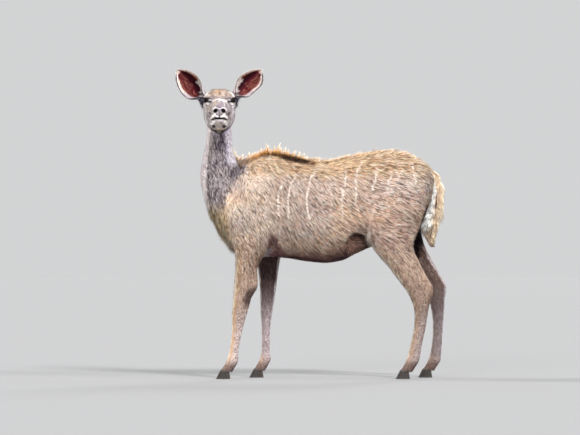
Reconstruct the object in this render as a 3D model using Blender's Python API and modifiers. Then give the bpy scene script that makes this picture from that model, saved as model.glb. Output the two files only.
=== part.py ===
import math

import bmesh
import bpy
import numpy as np
from mathutils import Matrix, Vector

# ---------------------------------------------------------------- sections
# Every table is in centimetres. The animal faces -X, its left side is at -Y.
CM = 0.01
MOUTH_Z = 140.4                    # height of the mouth line
HEAD_X, HEAD_Y = -55.2, 2.5        # middle of the skull, and the back of the skull
HEAD_YAW, HEAD_TILT = 0.025, 0.045  # how far the muzzle leans to +X and down, per unit forward
RING = 36                          # points round a section

# x, top, bottom, half width, height of the widest line, exponents above and below
TRUNK = [
    (-57.2, 87.0, 80.5, 3.2, 84.0, 2.0, 2.0),
    (-55.5, 92.0, 77.6, 7.0, 84.0, 2.0, 2.0),
    (-52.5, 98.5, 74.0, 9.8, 84.0, 2.0, 2.0),
    (-49.0, 106.0, 69.0, 11.8, 84.0, 2.0, 2.0),
    (-45.0, 113.0, 66.2, 13.0, 84.0, 1.9, 2.0),
    (-38.0, 118.2, 65.0, 15.0, 86.0, 1.8, 2.0),
    (-28.0, 120.8, 65.0, 16.5, 87.0, 1.65, 2.1),
    (-18.0, 120.8, 64.2, 17.8, 87.0, 1.65, 2.1),
    (-8.0, 118.2, 62.6, 19.4, 86.0, 1.75, 2.1),
    (2.0, 117.0, 61.8, 20.7, 86.0, 1.85, 2.1),
    (10.0, 118.3, 63.0, 21.0, 87.0, 1.9, 2.1),
    (18.0, 120.2, 66.6, 19.8, 90.0, 1.95, 2.1),
    (27.0, 121.6, 70.4, 17.2, 95.0, 2.05, 2.1),
    (37.0, 122.3, 72.0, 15.8, 99.0, 2.15, 2.2),
    (46.0, 121.3, 74.0, 15.0, 101.0, 2.15, 2.2),
    (52.5, 118.6, 80.5, 13.0, 101.5, 2.0, 2.0),
    (57.0, 115.6, 90.0, 9.8, 102.5, 2.0, 2.0),
    (60.0, 112.6, 98.5, 6.2, 104.5, 2.0, 2.0),
]
# distance forward of the back of the skull, then as above, heights over the mouth line
HEAD = [
    (-1.2, 11.5, 3.5, 3.0, 8.0, 2.0, 2.0),
    (1.2, 14.0, -1.5, 5.4, 7.6, 2.0, 2.1),
    (5.0, 15.6, -5.8, 7.5, 6.5, 2.5, 2.3),
    (9.0, 16.1, -7.5, 8.5, 5.8, 2.8, 2.5),
    (12.5, 15.7, -7.3, 8.8, 6.4, 2.8, 2.4),
    (15.5, 14.2, -6.5, 7.9, 5.8, 2.5, 2.2),
    (19.0, 12.1, -5.6, 6.1, 4.4, 2.2, 2.1),
    (22.5, 10.1, -5.0, 5.1, 3.2, 2.1, 2.2),
    (26.0, 8.2, -4.5, 4.65, 1.9, 2.2, 2.3),
    (29.0, 6.7, -4.1, 4.75, 1.1, 2.3, 2.4),
    (31.4, 5.7, -3.5, 4.5, 1.0, 2.4, 2.4),
    (33.3, 4.7, -2.3, 3.6, 1.2, 2.4, 2.3),
    (34.4, 3.4, -0.4, 2.0, 1.6, 2.0, 2.0),
]
# height, front, back, middle across, half width across
NECK = [
    (152.0, -60.0, -51.0, 0.0, 4.5),
    (146.0, -61.8, -49.2, -1.2, 6.3),
    (140.0, -62.8, -48.1, -2.4, 7.3),
    (134.5, -62.4, -48.5, -2.8, 7.5),
    (129.0, -62.5, -48.5, -2.6, 7.5),
    (124.5, -63.4, -48.1, -2.2, 7.5),
    (120.0, -64.4, -47.2, -1.6, 7.6),
    (115.4, -65.2, -45.3, -1.2, 7.8),
    (111.0, -65.9, -43.0, -0.8, 8.1),
    (107.8, -66.0, -41.5, -0.5, 8.4),
    (104.2, -65.7, -40.0, -0.3, 8.8),
    (100.6, -64.7, -38.0, 0.0, 9.3),
    (97.0, -63.6, -36.5, 0.0, 9.7),
    (92.5, -62.0, -35.0, 0.0, 10.0),
    (88.0, -60.4, -34.0, 0.0, 10.2),
    (84.5, -58.4, -33.5, 0.0, 9.9),
    (81.0, -56.7, -33.0, 0.0, 9.2),
    (77.5, -54.6, -33.0, 0.0, 8.4),
    (74.0, -52.0, -34.0, 0.0, 7.2),
    (70.0, -49.6, -36.0, 0.0, 5.5),
]
FORE_LEFT = [
    (114.0, -31.0, -21.0, -5.2, 3.0),
    (108.0, -38.5, -17.0, -8.0, 5.2),
    (100.0, -46.0, -14.5, -9.8, 6.4),
    (92.0, -51.5, -14.0, -10.6, 7.0),
    (84.0, -54.0, -17.0, -10.9, 7.0),
    (77.0, -52.0, -22.5, -11.1, 6.6),
    (71.8, -48.6, -27.6, -11.2, 6.1),
    (68.0, -47.2, -29.7, -11.3, 5.5),
    (64.3, -47.0, -32.2, -11.3, 5.0),
    (58.3, -47.1, -34.6, -11.3, 4.4),
    (52.9, -47.4, -34.2, -11.2, 4.0),
    (49.3, -47.6, -34.6, -11.1, 3.8),
    (46.2, -47.8, -36.2, -11.0, 3.6),
    (43.4, -48.0, -37.8, -10.9, 3.4),
    (40.0, -48.2, -38.7, -10.8, 3.3),
    (36.5, -48.6, -39.8, -10.7, 3.2),
    (33.0, -48.7, -40.7, -10.6, 3.2),
    (29.0, -48.4, -41.9, -10.5, 2.9),
    (24.5, -48.7, -42.9, -10.4, 2.4),
    (17.3, -49.5, -44.4, -10.2, 2.2),
    (13.5, -50.3, -44.9, -10.1, 2.4),
    (10.5, -51.2, -44.7, -10.0, 2.8),
    (7.5, -52.5, -45.9, -10.0, 2.7),
    (5.0, -54.2, -47.4, -10.0, 2.9),
    (3.2, -55.2, -48.4, -10.0, 2.8),
]
FORE_RIGHT = [
    (114.0, -30.0, -20.0, 5.2, 3.0),
    (108.0, -36.5, -16.0, 8.0, 5.2),
    (100.0, -43.5, -12.5, 9.8, 6.4),
    (92.0, -49.0, -11.5, 10.6, 7.0),
    (84.0, -50.5, -13.0, 10.9, 7.0),
    (77.0, -47.0, -16.5, 11.1, 6.6),
    (71.8, -41.8, -19.4, 11.2, 6.1),
    (68.0, -38.2, -21.1, 11.3, 5.5),
    (64.0, -36.0, -22.4, 11.3, 5.0),
    (58.3, -34.9, -23.3, 11.3, 4.3),
    (50.2, -34.0, -24.5, 11.1, 3.8),
    (43.7, -33.6, -25.5, 10.9, 3.4),
    (37.8, -33.5, -26.4, 10.8, 3.2),
    (34.0, -33.4, -27.0, 10.7, 3.2),
    (30.0, -33.0, -27.5, 10.6, 2.9),
    (25.9, -32.9, -27.9, 10.5, 2.4),
    (17.3, -32.8, -28.1, 10.3, 2.2),
    (13.5, -33.0, -28.0, 10.2, 2.4),
    (10.5, -33.7, -27.5, 10.1, 2.8),
    (7.5, -35.0, -28.6, 10.0, 2.7),
    (5.0, -36.6, -30.1, 10.0, 2.9),
    (3.2, -37.6, -31.1, 10.0, 2.8),
]
HIND_LEFT = [
    (117.0, 36.0, 51.0, -6.5, 4.2),
    (110.0, 31.0, 56.5, -9.2, 6.6),
    (102.0, 27.5, 57.6, -10.6, 8.0),
    (94.0, 24.8, 56.0, -11.2, 8.5),
    (86.0, 23.6, 53.6, -11.5, 8.3),
    (79.0, 23.8, 50.8, -11.7, 7.7),
    (73.5, 25.2, 48.9, -11.8, 7.0),
    (69.0, 27.5, 49.4, -11.7, 6.3),
    (64.5, 31.2, 51.4, -11.6, 5.6),
    (60.0, 35.0, 53.7, -11.5, 4.9),
    (55.5, 38.4, 56.0, -11.3, 4.2),
    (51.8, 41.4, 58.3, -11.2, 3.7),
    (49.0, 43.6, 59.7, -11.1, 3.4),
    (46.5, 45.4, 59.9, -11.0, 3.3),
    (43.0, 47.1, 59.0, -10.9, 3.3),
    (39.0, 48.6, 57.5, -10.8, 3.2),
    (35.0, 49.2, 56.8, -10.7, 2.8),
    (29.7, 49.1, 56.0, -10.6, 2.4),
    (22.7, 48.0, 54.6, -10.5, 2.2),
    (16.5, 46.5, 53.3, -10.4, 2.3),
    (12.5, 45.5, 52.7, -10.3, 2.6),
    (9.5, 44.6, 52.0, -10.3, 2.8),
    (6.8, 43.4, 50.3, -10.3, 2.7),
    (4.8, 42.0, 49.0, -10.3, 2.9),
    (3.2, 41.1, 48.0, -10.3, 2.8),
]
HIND_RIGHT = [
    (117.0, 36.0, 51.0, 6.5, 4.2),
    (110.0, 31.0, 56.5, 9.2, 6.6),
    (102.0, 28.0, 57.6, 10.6, 8.0),
    (94.0, 26.5, 56.2, 11.2, 8.5),
    (86.0, 27.5, 55.0, 11.5, 8.3),
    (79.0, 31.0, 54.5, 11.7, 7.7),
    (73.5, 34.5, 55.6, 11.8, 7.0),
    (69.0, 38.5, 57.4, 11.7, 6.3),
    (64.5, 42.3, 59.8, 11.6, 5.6),
    (60.0, 46.0, 62.2, 11.5, 4.9),
    (55.8, 49.3, 64.6, 11.3, 4.2),
    (52.0, 52.4, 67.1, 11.2, 3.7),
    (49.5, 54.4, 67.9, 11.1, 3.4),
    (46.8, 56.2, 67.7, 11.0, 3.3),
    (43.0, 57.7, 67.0, 10.9, 3.3),
    (39.0, 58.9, 66.8, 10.8, 3.2),
    (35.0, 59.6, 66.6, 10.7, 2.8),
    (30.0, 60.1, 66.2, 10.6, 2.4),
    (24.0, 60.1, 65.8, 10.5, 2.2),
    (17.0, 59.4, 65.4, 10.4, 2.3),
    (12.5, 58.5, 65.1, 10.3, 2.6),
    (9.5, 57.6, 64.7, 10.3, 2.8),
    (6.8, 56.4, 63.1, 10.3, 2.7),
    (4.8, 55.1, 61.8, 10.3, 2.9),
    (3.2, 54.2, 60.9, 10.3, 2.8),
]
TAIL = [
    (114.0, 54.5, 60.0, 0.0, 2.6),
    (110.5, 56.8, 62.8, 0.0, 3.4),
    (105.3, 59.0, 65.0, 0.0, 3.8),
    (99.4, 58.0, 66.3, 0.0, 4.2),
    (92.6, 55.5, 66.8, 0.0, 4.5),
    (85.9, 53.5, 65.8, 0.0, 4.4),
    (80.5, 52.4, 63.6, 0.0, 3.9),
    (77.6, 53.5, 62.3, 0.0, 3.2),
    (74.5, 56.4, 61.5, 0.0, 2.3),
    (70.6, 58.8, 60.8, 0.0, 1.1),
]
# x, top, bottom, half width, widest line, exponents: the crest of long hair
CREST = [
    (-47.0, 119.6, 112.0, 1.2, 113.0, 1.5, 2.0),
    (-42.0, 121.2, 112.0, 1.7, 114.0, 1.5, 2.0),
    (-38.5, 122.1, 113.0, 1.9, 115.0, 1.5, 2.0),
    (-34.6, 123.8, 114.0, 2.0, 116.0, 1.5, 2.0),
    (-30.8, 126.2, 115.0, 2.1, 117.0, 1.5, 2.0),
    (-27.0, 127.2, 116.0, 2.1, 118.0, 1.5, 2.0),
    (-21.6, 125.9, 116.0, 2.1, 118.0, 1.5, 2.0),
    (-14.6, 123.2, 115.0, 2.0, 117.0, 1.5, 2.0),
    (-9.2, 120.6, 113.0, 1.8, 115.0, 1.5, 2.0),
    (-3.0, 117.6, 112.0, 1.3, 113.0, 1.5, 2.0),
]

EAR_THICK = 0.6
EAR_ROOT = (6.6, 2.2, 10.0)        # across from the skull's middle, forward of its back, over the mouth line
EAR_TIP = (22.4, 0.6, 25.9)
# share of the length, half width, half angle of the roll, shift of the middle line towards the crown
EAR = [
    (0.00, 1.9, 170.0, 0.0),
    (0.12, 2.2, 165.0, 0.0),
    (0.20, 3.3, 140.0, -0.8),
    (0.28, 4.6, 115.0, -1.4),
    (0.37, 5.6, 98.0, -1.5),
    (0.48, 6.1, 86.0, -1.2),
    (0.60, 6.05, 78.0, -0.9),
    (0.72, 5.4, 70.0, -0.65),
    (0.83, 4.3, 60.0, -0.55),
    (0.92, 2.8, 48.0, -0.45),
    (0.98, 1.3, 34.0, -0.2),
    (1.00, 0.5, 26.0, 0.0),
]
EYE_RADIUS = 1.95
EYE = (6.6, 13.4, 9.5)             # across, forward of the back of the skull, over the mouth line


def smooth_rows(rows, step):
    """The rows with smooth rows between them about `step` cm apart: a cubic that never swings past its points."""
    p = np.array(rows, float)
    span = np.maximum(np.linalg.norm(np.diff(p[:, :3], axis=0), axis=1), 1e-6)
    t = np.concatenate([[0.0], np.cumsum(span)])
    d = np.diff(p, axis=0) / span[:, None]
    m = np.zeros_like(p)
    m[0], m[-1] = d[0], d[-1]
    w1 = (2 * span[1:] + span[:-1])[:, None]
    w2 = (span[1:] + 2 * span[:-1])[:, None]
    same = d[:-1] * d[1:] > 0
    safe = np.where(same, d[:-1], 1.0), np.where(same, d[1:], 1.0)
    m[1:-1] = np.where(same, (w1 + w2) / (w1 / safe[0] + w2 / safe[1]), 0.0)
    n = max(4, int(round(t[-1] / step)))
    s = np.linspace(0, t[-1], n + 1)
    k = np.clip(np.searchsorted(t, s, side="right") - 1, 0, len(span) - 1)
    h, x = span[k][:, None], ((s - t[k]) / span[k])[:, None]
    return (
        (2 * x**3 - 3 * x**2 + 1) * p[k]
        + (x**3 - 2 * x**2 + x) * h * m[k]
        + (-2 * x**3 + 3 * x**2) * p[k + 1]
        + (x**3 - x**2) * h * m[k + 1]
    )


def oval(n_up, n_down, ring=RING):
    """Unit oval as (across, up); an exponent under 2 narrows it towards a ridge, over 2 squares it."""
    a = np.linspace(0, 2 * math.pi, ring, endpoint=False)
    c, s = np.cos(a), np.sin(a)
    n = np.where(s >= 0, n_up, n_down)
    return np.sign(c) * np.abs(c) ** (2 / n), np.sign(s) * np.abs(s) ** (2 / n)


def rings_along_x(rows, step=1.2, grow=0.0):
    """Upright sections, one behind the other along X, as on the trunk."""
    out = []
    for x, top, low, w, mid, nu, nd in smooth_rows(rows, step):
        a, b = oval(nu, nd)
        h = np.where(b >= 0, top - mid, mid - low) + grow
        out.append(np.stack([np.full(RING, x), a * (w + grow), mid + b * h], 1))
    return out


def head_axis(f):
    """Middle of the head and height of the mouth line at a distance f forward of the skull's back."""
    return HEAD_X + HEAD_YAW * (f - 13.0), MOUTH_Z - HEAD_TILT * f


def rings_of_head(rows, step=0.6, grow=0.0):
    """Upright sections along the head, which points to -Y."""
    out = []
    for f, top, low, w, mid, nu, nd in smooth_rows(rows, step):
        a, b = oval(nu, nd)
        h = np.where(b >= 0, top - mid, mid - low) + grow
        x, z = head_axis(f)
        out.append(np.stack([x + a * (w + grow), np.full(RING, HEAD_Y - f), z + mid + b * h], 1))
    return out


def rings_up_z(rows, step=1.2, grow=0.0, n=2.15):
    """Level sections, as down a leg, the neck or the tail."""
    out = []
    for z, front, back, y, w in smooth_rows(rows, step):
        a, b = oval(n, n)
        half = (back - front) / 2 + grow
        out.append(np.stack([(front + back) / 2 + a * half, y + b * (w + grow), np.full(RING, z)], 1))
    return out


def head_point(across, forward, up, side):
    x, z = head_axis(forward)
    return np.array([x + side * across, HEAD_Y - forward, z + up])


def ear_rings(side, steps=11, across=8):
    """Grid of points of the ear's sheet: a rolled stalk that opens into a wide cup facing -Y."""
    root, tip = head_point(*EAR_ROOT, side), head_point(*EAR_TIP, side)
    along = (tip - root) / np.linalg.norm(tip - root)
    length = np.linalg.norm(tip - root)
    back = np.array([0.0, 1.0, 0.0])
    back -= along * (back @ along)
    back /= np.linalg.norm(back)
    wide = np.cross(along, back)
    wide *= np.sign(wide[2])  # towards the crown
    rows = np.array(EAR)
    grid = []
    for t in np.linspace(0, 1, steps):
        half, roll, lean = (np.interp(t, rows[:, 0], rows[:, k]) for k in (1, 2, 3))
        roll = math.radians(roll)
        angle = np.linspace(-roll, roll, across)
        limit = min(roll, math.pi / 2)
        r = half / math.sin(limit)
        depth = r * (np.cos(angle) - math.cos(limit))
        grid.append(
            root
            + along * (length * t)
            + wide[None, :] * (lean + r * np.sin(angle))[:, None]
            + back[None, :] * depth[:, None]
        )
    return grid


# ---------------------------------------------------------------- the solids
GAP = 0.0004                       # clear space between touching pieces, in metres
SHIFT = Vector((0.057, 0.054, 0.0))  # puts the middle of the model's footprint at the origin
FLESH_VOXEL = 0.0085
TOE_TOP = 4.6                      # where the horn of the hoof starts, in centimetres
NAPE = (-10.5, 134.4), (8.0, 146.0)   # Y and Z of two points of the cut between head and neck
BASE = (-54.0, 88.0), (-41.6, 112.0)  # X and Z of two points of the cut between neck and trunk
THIGH = (23.0, 77.5), (58.0, 92.5)    # X and Z where the thigh leaves the flank and the rump
FORE_TOP, KNEE, HOCK, GROIN = 62.6, 32.0, 50.2, 3.8


def clear_scene():
    for obj in list(bpy.data.objects):
        bpy.data.objects.remove(obj, do_unlink=True)
    for mesh in list(bpy.data.meshes):
        bpy.data.meshes.remove(mesh)


def collection(name):
    made = bpy.data.collections.new(name)
    bpy.context.scene.collection.children.link(made)
    return made


def material(name, colour, roughness, metallic=0.0):
    mat = bpy.data.materials.new(name)
    mat.use_nodes = True
    shader = mat.node_tree.nodes["Principled BSDF"]
    shader.inputs["Base Color"].default_value = (*colour, 1.0)
    shader.inputs["Roughness"].default_value = roughness
    shader.inputs["Metallic"].default_value = metallic
    return mat


def skin_rings(bm, rings):
    """One closed loft through the rings, with a point in the middle of each end."""
    loops = [[bm.verts.new(Vector(p) * CM) for p in ring] for ring in rings]
    n = len(loops[0])
    for a, b in zip(loops, loops[1:]):
        for i in range(n):
            bm.faces.new((a[i], a[(i + 1) % n], b[(i + 1) % n], b[i]))
    for loop, ring in ((loops[0], rings[0]), (loops[-1], rings[-1])):
        middle = bm.verts.new(Vector(np.mean(ring, axis=0)) * CM)
        for i in range(n):
            bm.faces.new((middle, loop[i], loop[(i + 1) % n]))


def outward(bm):
    """Each loose shell's faces made to point out, even where shells overlap."""
    bmesh.ops.recalc_face_normals(bm, faces=bm.faces[:])


def new_object(name, bm, group, mat=None):
    mesh = bpy.data.meshes.new(name)
    bm.to_mesh(mesh)
    bm.free()
    obj = bpy.data.objects.new(name, mesh)
    group.objects.link(obj)
    if mat:
        mesh.materials.append(mat)
    return obj


def loft(name, ring_sets, group, mat=None):
    bm = bmesh.new()
    for rings in ring_sets:
        part = bmesh.new()
        skin_rings(part, rings)
        outward(part)
        if part.calc_volume(signed=True) < 0:
            bmesh.ops.reverse_faces(part, faces=part.faces[:])
        shell = bpy.data.meshes.new("shell")
        part.to_mesh(shell)
        part.free()
        bm.from_mesh(shell)
        bpy.data.meshes.remove(shell)
    return new_object(name, bm, group, mat)


def baked(obj, name, group, mat=None):
    """A plain mesh object of obj with its modifiers applied, without the helper it came from."""
    graph = bpy.context.evaluated_depsgraph_get()
    mesh = bpy.data.meshes.new_from_object(obj.evaluated_get(graph))
    mesh.name = name
    made = bpy.data.objects.new(name, mesh)
    made.matrix_world = obj.matrix_world
    group.objects.link(made)
    mesh.materials.clear()
    if mat:
        mesh.materials.append(mat)
    bpy.data.objects.remove(obj, do_unlink=True)
    return made


def prism(name, outline, y0, y1, group):
    """A helper block with an outline in X and Z, in centimetres, between two planes across."""
    bm = bmesh.new()
    near = [bm.verts.new(Vector((x, y0, z)) * CM) for x, z in outline]
    far = [bm.verts.new(Vector((x, y1, z)) * CM) for x, z in outline]
    bm.faces.new(near)
    bm.faces.new(far)
    for i in range(len(outline)):
        j = (i + 1) % len(outline)
        bm.faces.new((near[i], near[j], far[j], far[i]))
    outward(bm)
    obj = new_object(name, bm, group)
    obj.hide_render = True
    obj.display_type = "WIRE"
    return obj


def prism_x(name, outline, x0, x1, group):
    """As prism, with the outline in Y and Z and the length along X."""
    obj = prism(name, outline, x0, x1, group)
    for v in obj.data.vertices:
        v.co = (v.co.y, v.co.x, v.co.z)
    obj.data.flip_normals()
    return obj


def slab(x0, x1, z0, z1):
    return [(x0, z0), (x1, z0), (x1, z1), (x0, z1)]


def boolean(obj, other, operation):
    mod = obj.modifiers.new("cut", "BOOLEAN")
    mod.object = other
    mod.operation = operation
    mod.solver = "EXACT"


def piece(source, cutters, name, group, mat):
    """A copy of source kept inside the first cutter and outside the others."""
    obj = bpy.data.objects.new(name + "_raw", source.data.copy())
    group.objects.link(obj)
    for cutter, operation in cutters:
        boolean(obj, cutter, operation)
    bpy.context.view_layer.update()
    return baked(obj, name, group, mat)


def keep_largest(obj):
    """Drops crumbs that a cut leaves beside the piece."""
    bm = bmesh.new()
    bm.from_mesh(obj.data)
    left, shells = set(bm.verts), []
    while left:
        stack = [left.pop()]
        shell = set(stack)
        while stack:
            for edge in stack.pop().link_edges:
                for v in edge.verts:
                    if v in left:
                        left.remove(v)
                        shell.add(v)
                        stack.append(v)
        shells.append(shell)
    shells.sort(key=len)
    gone = [v for shell in shells[:-1] for v in shell]
    bmesh.ops.delete(bm, geom=gone, context="VERTS")
    bm.to_mesh(obj.data)
    bm.free()


# ---------------------------------------------------------------- ear, eye and toe
def ear(name, side, group, mat):
    grid = ear_rings(side)
    bm = bmesh.new()
    sheet = [[bm.verts.new(Vector(p) * CM) for p in row] for row in grid]
    for a, b in zip(sheet, sheet[1:]):
        for i in range(len(a) - 1):
            bm.faces.new((a[i], a[i + 1], b[i + 1], b[i]))
    obj = new_object(name + "_sheet", bm, group, mat)
    solid = obj.modifiers.new("wall", "SOLIDIFY")
    solid.thickness = EAR_THICK * CM
    solid.offset = 0.0
    bpy.context.view_layer.update()
    return baked(obj, name + "_wall", group, mat)


def ball(name, centre, radius, group, mat=None, segments=14, rings=8):
    bm = bmesh.new()
    bmesh.ops.create_uvsphere(bm, u_segments=segments, v_segments=rings, radius=radius * CM)
    bmesh.ops.translate(bm, verts=bm.verts[:], vec=Vector(centre) * CM)
    return new_object(name, bm, group, mat)


def toe_rows(front, back, y, side):
    """One claw of a hoof, from the ground up: a curved outer wall, a flat inner one and a pointed toe."""
    return [
        (0.0, front, back, y, 1.0),
        (1.2, front + 0.55, back - 0.05, y, 1.0),
        (3.0, front + 1.35, back - 0.35, y, 0.94),
        (TOE_TOP - 0.06, front + 2.2, back - 0.75, y, 0.86),
    ]


def toe_rings(rows, side, half=1.42):
    """Level D-shaped sections: a pointed front, a round heel and a flatter inner side."""
    out = []
    n = 14
    for z, front, back, y, scale in rows:
        ring = []
        for k in range(n):
            a = 2 * math.pi * k / n
            c, s = math.cos(a), math.sin(a)
            x = (front + back) / 2 + c * (back - front) / 2
            # The width falls away towards the toe's tip.
            along = (c + 1) / 2
            width = half * scale * (0.30 + 0.70 * math.sin(math.pi * min(1.0, 0.16 + 0.62 * along)))
            across = s * width
            if s * side < 0:
                across *= 0.80
            ring.append((x, y + across, z))
        out.append(np.array(ring))
    return out


def toe(name, front, back, y, side, group, mat):
    obj = loft(name, [toe_rings(toe_rows(front, back, y, side), side)], group, mat)
    return obj


def build():
    clear_scene()
    group = collection("greater_kudu_cow")
    helpers = collection("cutters")
    coat = material("coat_brown", (0.34, 0.25, 0.17), 0.85)
    neck_coat = material("neck_grey_brown", (0.26, 0.21, 0.17), 0.85)
    face = material("face_grey", (0.40, 0.34, 0.28), 0.8)
    ear_coat = material("ear_brown", (0.36, 0.27, 0.22), 0.8)
    eye_mat = material("eye_dark", (0.012, 0.008, 0.006), 0.08)
    horn = material("hoof_horn", (0.035, 0.028, 0.024), 0.45)
    tail_coat = material("tail_tan", (0.48, 0.38, 0.27), 0.9)

    # The whole body as overlapping lofts, then one skin round them all.
    whole = loft(
        "whole",
        [
            rings_along_x(TRUNK),
            rings_along_x(CREST),
            rings_of_head(HEAD),
            rings_up_z(NECK),
            rings_up_z(FORE_LEFT),
            rings_up_z(FORE_RIGHT),
            rings_up_z(HIND_LEFT),
            rings_up_z(HIND_RIGHT),
        ],
        helpers,
    )
    wrap = whole.modifiers.new("wrap", "REMESH")
    wrap.mode = "VOXEL"
    wrap.voxel_size = FLESH_VOXEL
    bpy.context.view_layer.update()
    whole = baked(whole, "whole_wrapped", helpers)
    soft = whole.vertex_groups.new(name="soft")
    for v in whole.data.vertices:
        x, y, z = (v.co / CM)[:]
        # The trunk's joins with limbs and neck are eased most, the feet and the face least.
        body = min(1.0, max(0.0, (z - 50.0) / 14.0)) * min(1.0, max(0.0, (134.0 - z) / 8.0))
        soft.add([v.index], 0.12 + 0.88 * body, "REPLACE")
    ease = whole.modifiers.new("ease", "SMOOTH")
    ease.factor = 0.5
    ease.iterations = 14
    ease.vertex_group = "soft"
    thin = whole.modifiers.new("thin", "DECIMATE")
    thin.ratio = 0.0438
    bpy.context.view_layer.update()
    whole = baked(whole, "whole_body", helpers)
    whole.vertex_groups.clear()
    whole.hide_render = True

    # Upright blocks cut the body; each face between two pieces is drawn back by half the gap.
    half = GAP / CM / 2
    (x0, z0), (x1, z1) = NAPE
    rise = (z1 - z0) / (x1 - x0)
    head_plane = lambda shift: [(-40 , z0 + rise * (-40 - x0) + shift), (40, z0 + rise * (40 - x0) + shift)]
    low, high = head_plane(half), head_plane(-half)
    # The head's plane slopes along Y, so its blocks are drawn along Y and stretch across X.
    head_side = prism_x("cut_head", [low[0], low[1], (40, 220), (-40, 220)], -110, 0, helpers)
    neck_top = prism_x("cut_neck_top", [high[0], high[1], (40, 40), (-40, 40)], -110, 0, helpers)
    (x0, z0), (x1, z1) = BASE
    lean = (x1 - x0) / (z1 - z0)
    at = lambda z, shift: (x0 + lean * (z - z0) + shift, z)
    neck_side = prism("cut_neck", [at(200, -half), at(40, -half), (-140, 40), (-140, 200)], -40, 40, helpers)
    trunk_side = prism("cut_trunk", [at(200, half), at(0, half), (110, 0), (110, 200)], -40, 40, helpers)

    cutters, pieces = [], []
    for name, side in (("foreleg_left", -1), ("foreleg_right", 1)):
        y = sorted((side * 0.01, side * 30.0))
        cutters.append(prism("all_" + name, slab(-80, 0, -1, FORE_TOP + half), *y, helpers))
        for part, z0, z1 in (("upper", KNEE + half, FORE_TOP - half), ("lower", TOE_TOP, KNEE - half)):
            pieces.append((name + "_" + part, prism("cut_%s_%s" % (name, part), slab(-80, 0, z0, z1), *y, helpers)))
    # The hind legs part from the trunk from the flank fold up to the tail.
    (fx, fz), (tx, tz) = THIGH
    for name, side in (("hindleg_left", -1), ("hindleg_right", 1)):
        inner, outer = side * GROIN, side * 30.0
        outline = [(fx - half, fz + half), (90, tz + (90 - tx) * (tz - fz) / (tx - fx) + half), (90, -1), (28 - half, -1), (28 - half, 66)]
        cutters.append(prism("all_" + name, outline, inner - side * half, outer, helpers))
        outline = [(fx + half, fz - half), (90, tz + (90 - tx) * (tz - fz) / (tx - fx) - half), (90, -1), (28 + half, -1), (28 + half, 66)]
        leg_only = prism("leg_" + name, outline, inner + side * half, outer, helpers)
        y = sorted((0.0, outer))
        pieces.append((name + "_upper", leg_only, prism("cut_%s_upper" % name, slab(10, 95, HOCK + half, 130), *y, helpers)))
        pieces.append((name + "_lower", leg_only, prism("cut_%s_lower" % name, slab(10, 95, TOE_TOP, HOCK - half), *y, helpers)))

    # Head, neck and trunk.
    head = piece(whole, [(head_side, "INTERSECT")], "head_solid", group, face)
    neck = piece(whole, [(neck_top, "INTERSECT"), (neck_side, "INTERSECT")], "neck", group, neck_coat)
    trunk = piece(
        whole,
        [(trunk_side, "INTERSECT")] + [(c, "DIFFERENCE") for c in cutters],
        "trunk",
        group,
        coat,
    )
    keep_largest(trunk)
    keep_largest(neck)
    for entry in pieces:
        made = piece(whole, [(c, "INTERSECT") for c in entry[1:]], entry[0], group, coat)
        keep_largest(made)

    # Eyes sit in sockets cut a hair wider than they are.
    eyes = []
    for name, side in (("eye_right", -1), ("eye_left", 1)):
        centre = head_point(*EYE, side)
        eyes.append(ball(name, centre, EYE_RADIUS, group, eye_mat))
        socket = ball("socket_" + name, centre, EYE_RADIUS + GAP / CM, helpers)
        socket.hide_render = True
        boolean(head, socket, "DIFFERENCE")
    bpy.context.view_layer.update()
    head = baked(head, "head", group, face)
    keep_largest(head)

    # Each ear is cut back to the head's surface, with a copy of the head swollen by the gap.
    swollen = bpy.data.objects.new("swollen_head", head.data.copy())
    helpers.objects.link(swollen)
    swollen.hide_render = True
    push = swollen.modifiers.new("push", "DISPLACE")
    push.strength = GAP
    push.mid_level = 0.0
    for name, side in (("ear_right", -1), ("ear_left", 1)):
        raw = ear(name, side, group, ear_coat)
        boolean(raw, swollen, "DIFFERENCE")
        bpy.context.view_layer.update()
        keep_largest(baked(raw, name, group, ear_coat))

    # The tail hangs from the rump, cut back to it in the same way.
    rump = bpy.data.objects.new("swollen_trunk", trunk.data.copy())
    helpers.objects.link(rump)
    rump.hide_render = True
    push = rump.modifiers.new("push", "DISPLACE")
    push.strength = GAP
    push.mid_level = 0.0
    tail = loft("tail_raw", [rings_up_z(TAIL, 2.4)], group, tail_coat)
    thin = tail.modifiers.new("thin", "DECIMATE")
    thin.ratio = 0.2
    boolean(tail, rump, "DIFFERENCE")
    for entry in pieces:
        if "hindleg" in entry[0] and "upper" in entry[0]:
            boolean(tail, bpy.data.objects["all_" + entry[0][:-6]], "DIFFERENCE")
    bpy.context.view_layer.update()
    keep_largest(baked(tail, "tail", group, tail_coat))

    # Two claws to each foot, with flat soles at one level.
    for leg, front, back, y in (
        ("front_left", -57.0, -49.2, -10.0),
        ("front_right", -39.4, -31.6, 10.0),
        ("hind_left", 39.4, 47.0, -10.3),
        ("hind_right", 52.4, 60.0, 10.3),
    ):
        for which, side in (("outer", math.copysign(1, y)), ("inner", -math.copysign(1, y))):
            toe("toe_%s_%s" % (leg, which), front, back, y + side * 1.45, side, group, horn)

    for obj in group.objects:
        obj.location += SHIFT
        obj.data.shade_smooth()
        obj.data.set_sharp_from_angle(angle=math.radians(50))


build()
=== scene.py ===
import math

import bpy
import numpy as np
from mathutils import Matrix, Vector
from mathutils.bvhtree import BVHTree
from mathutils.kdtree import KDTree


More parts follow.
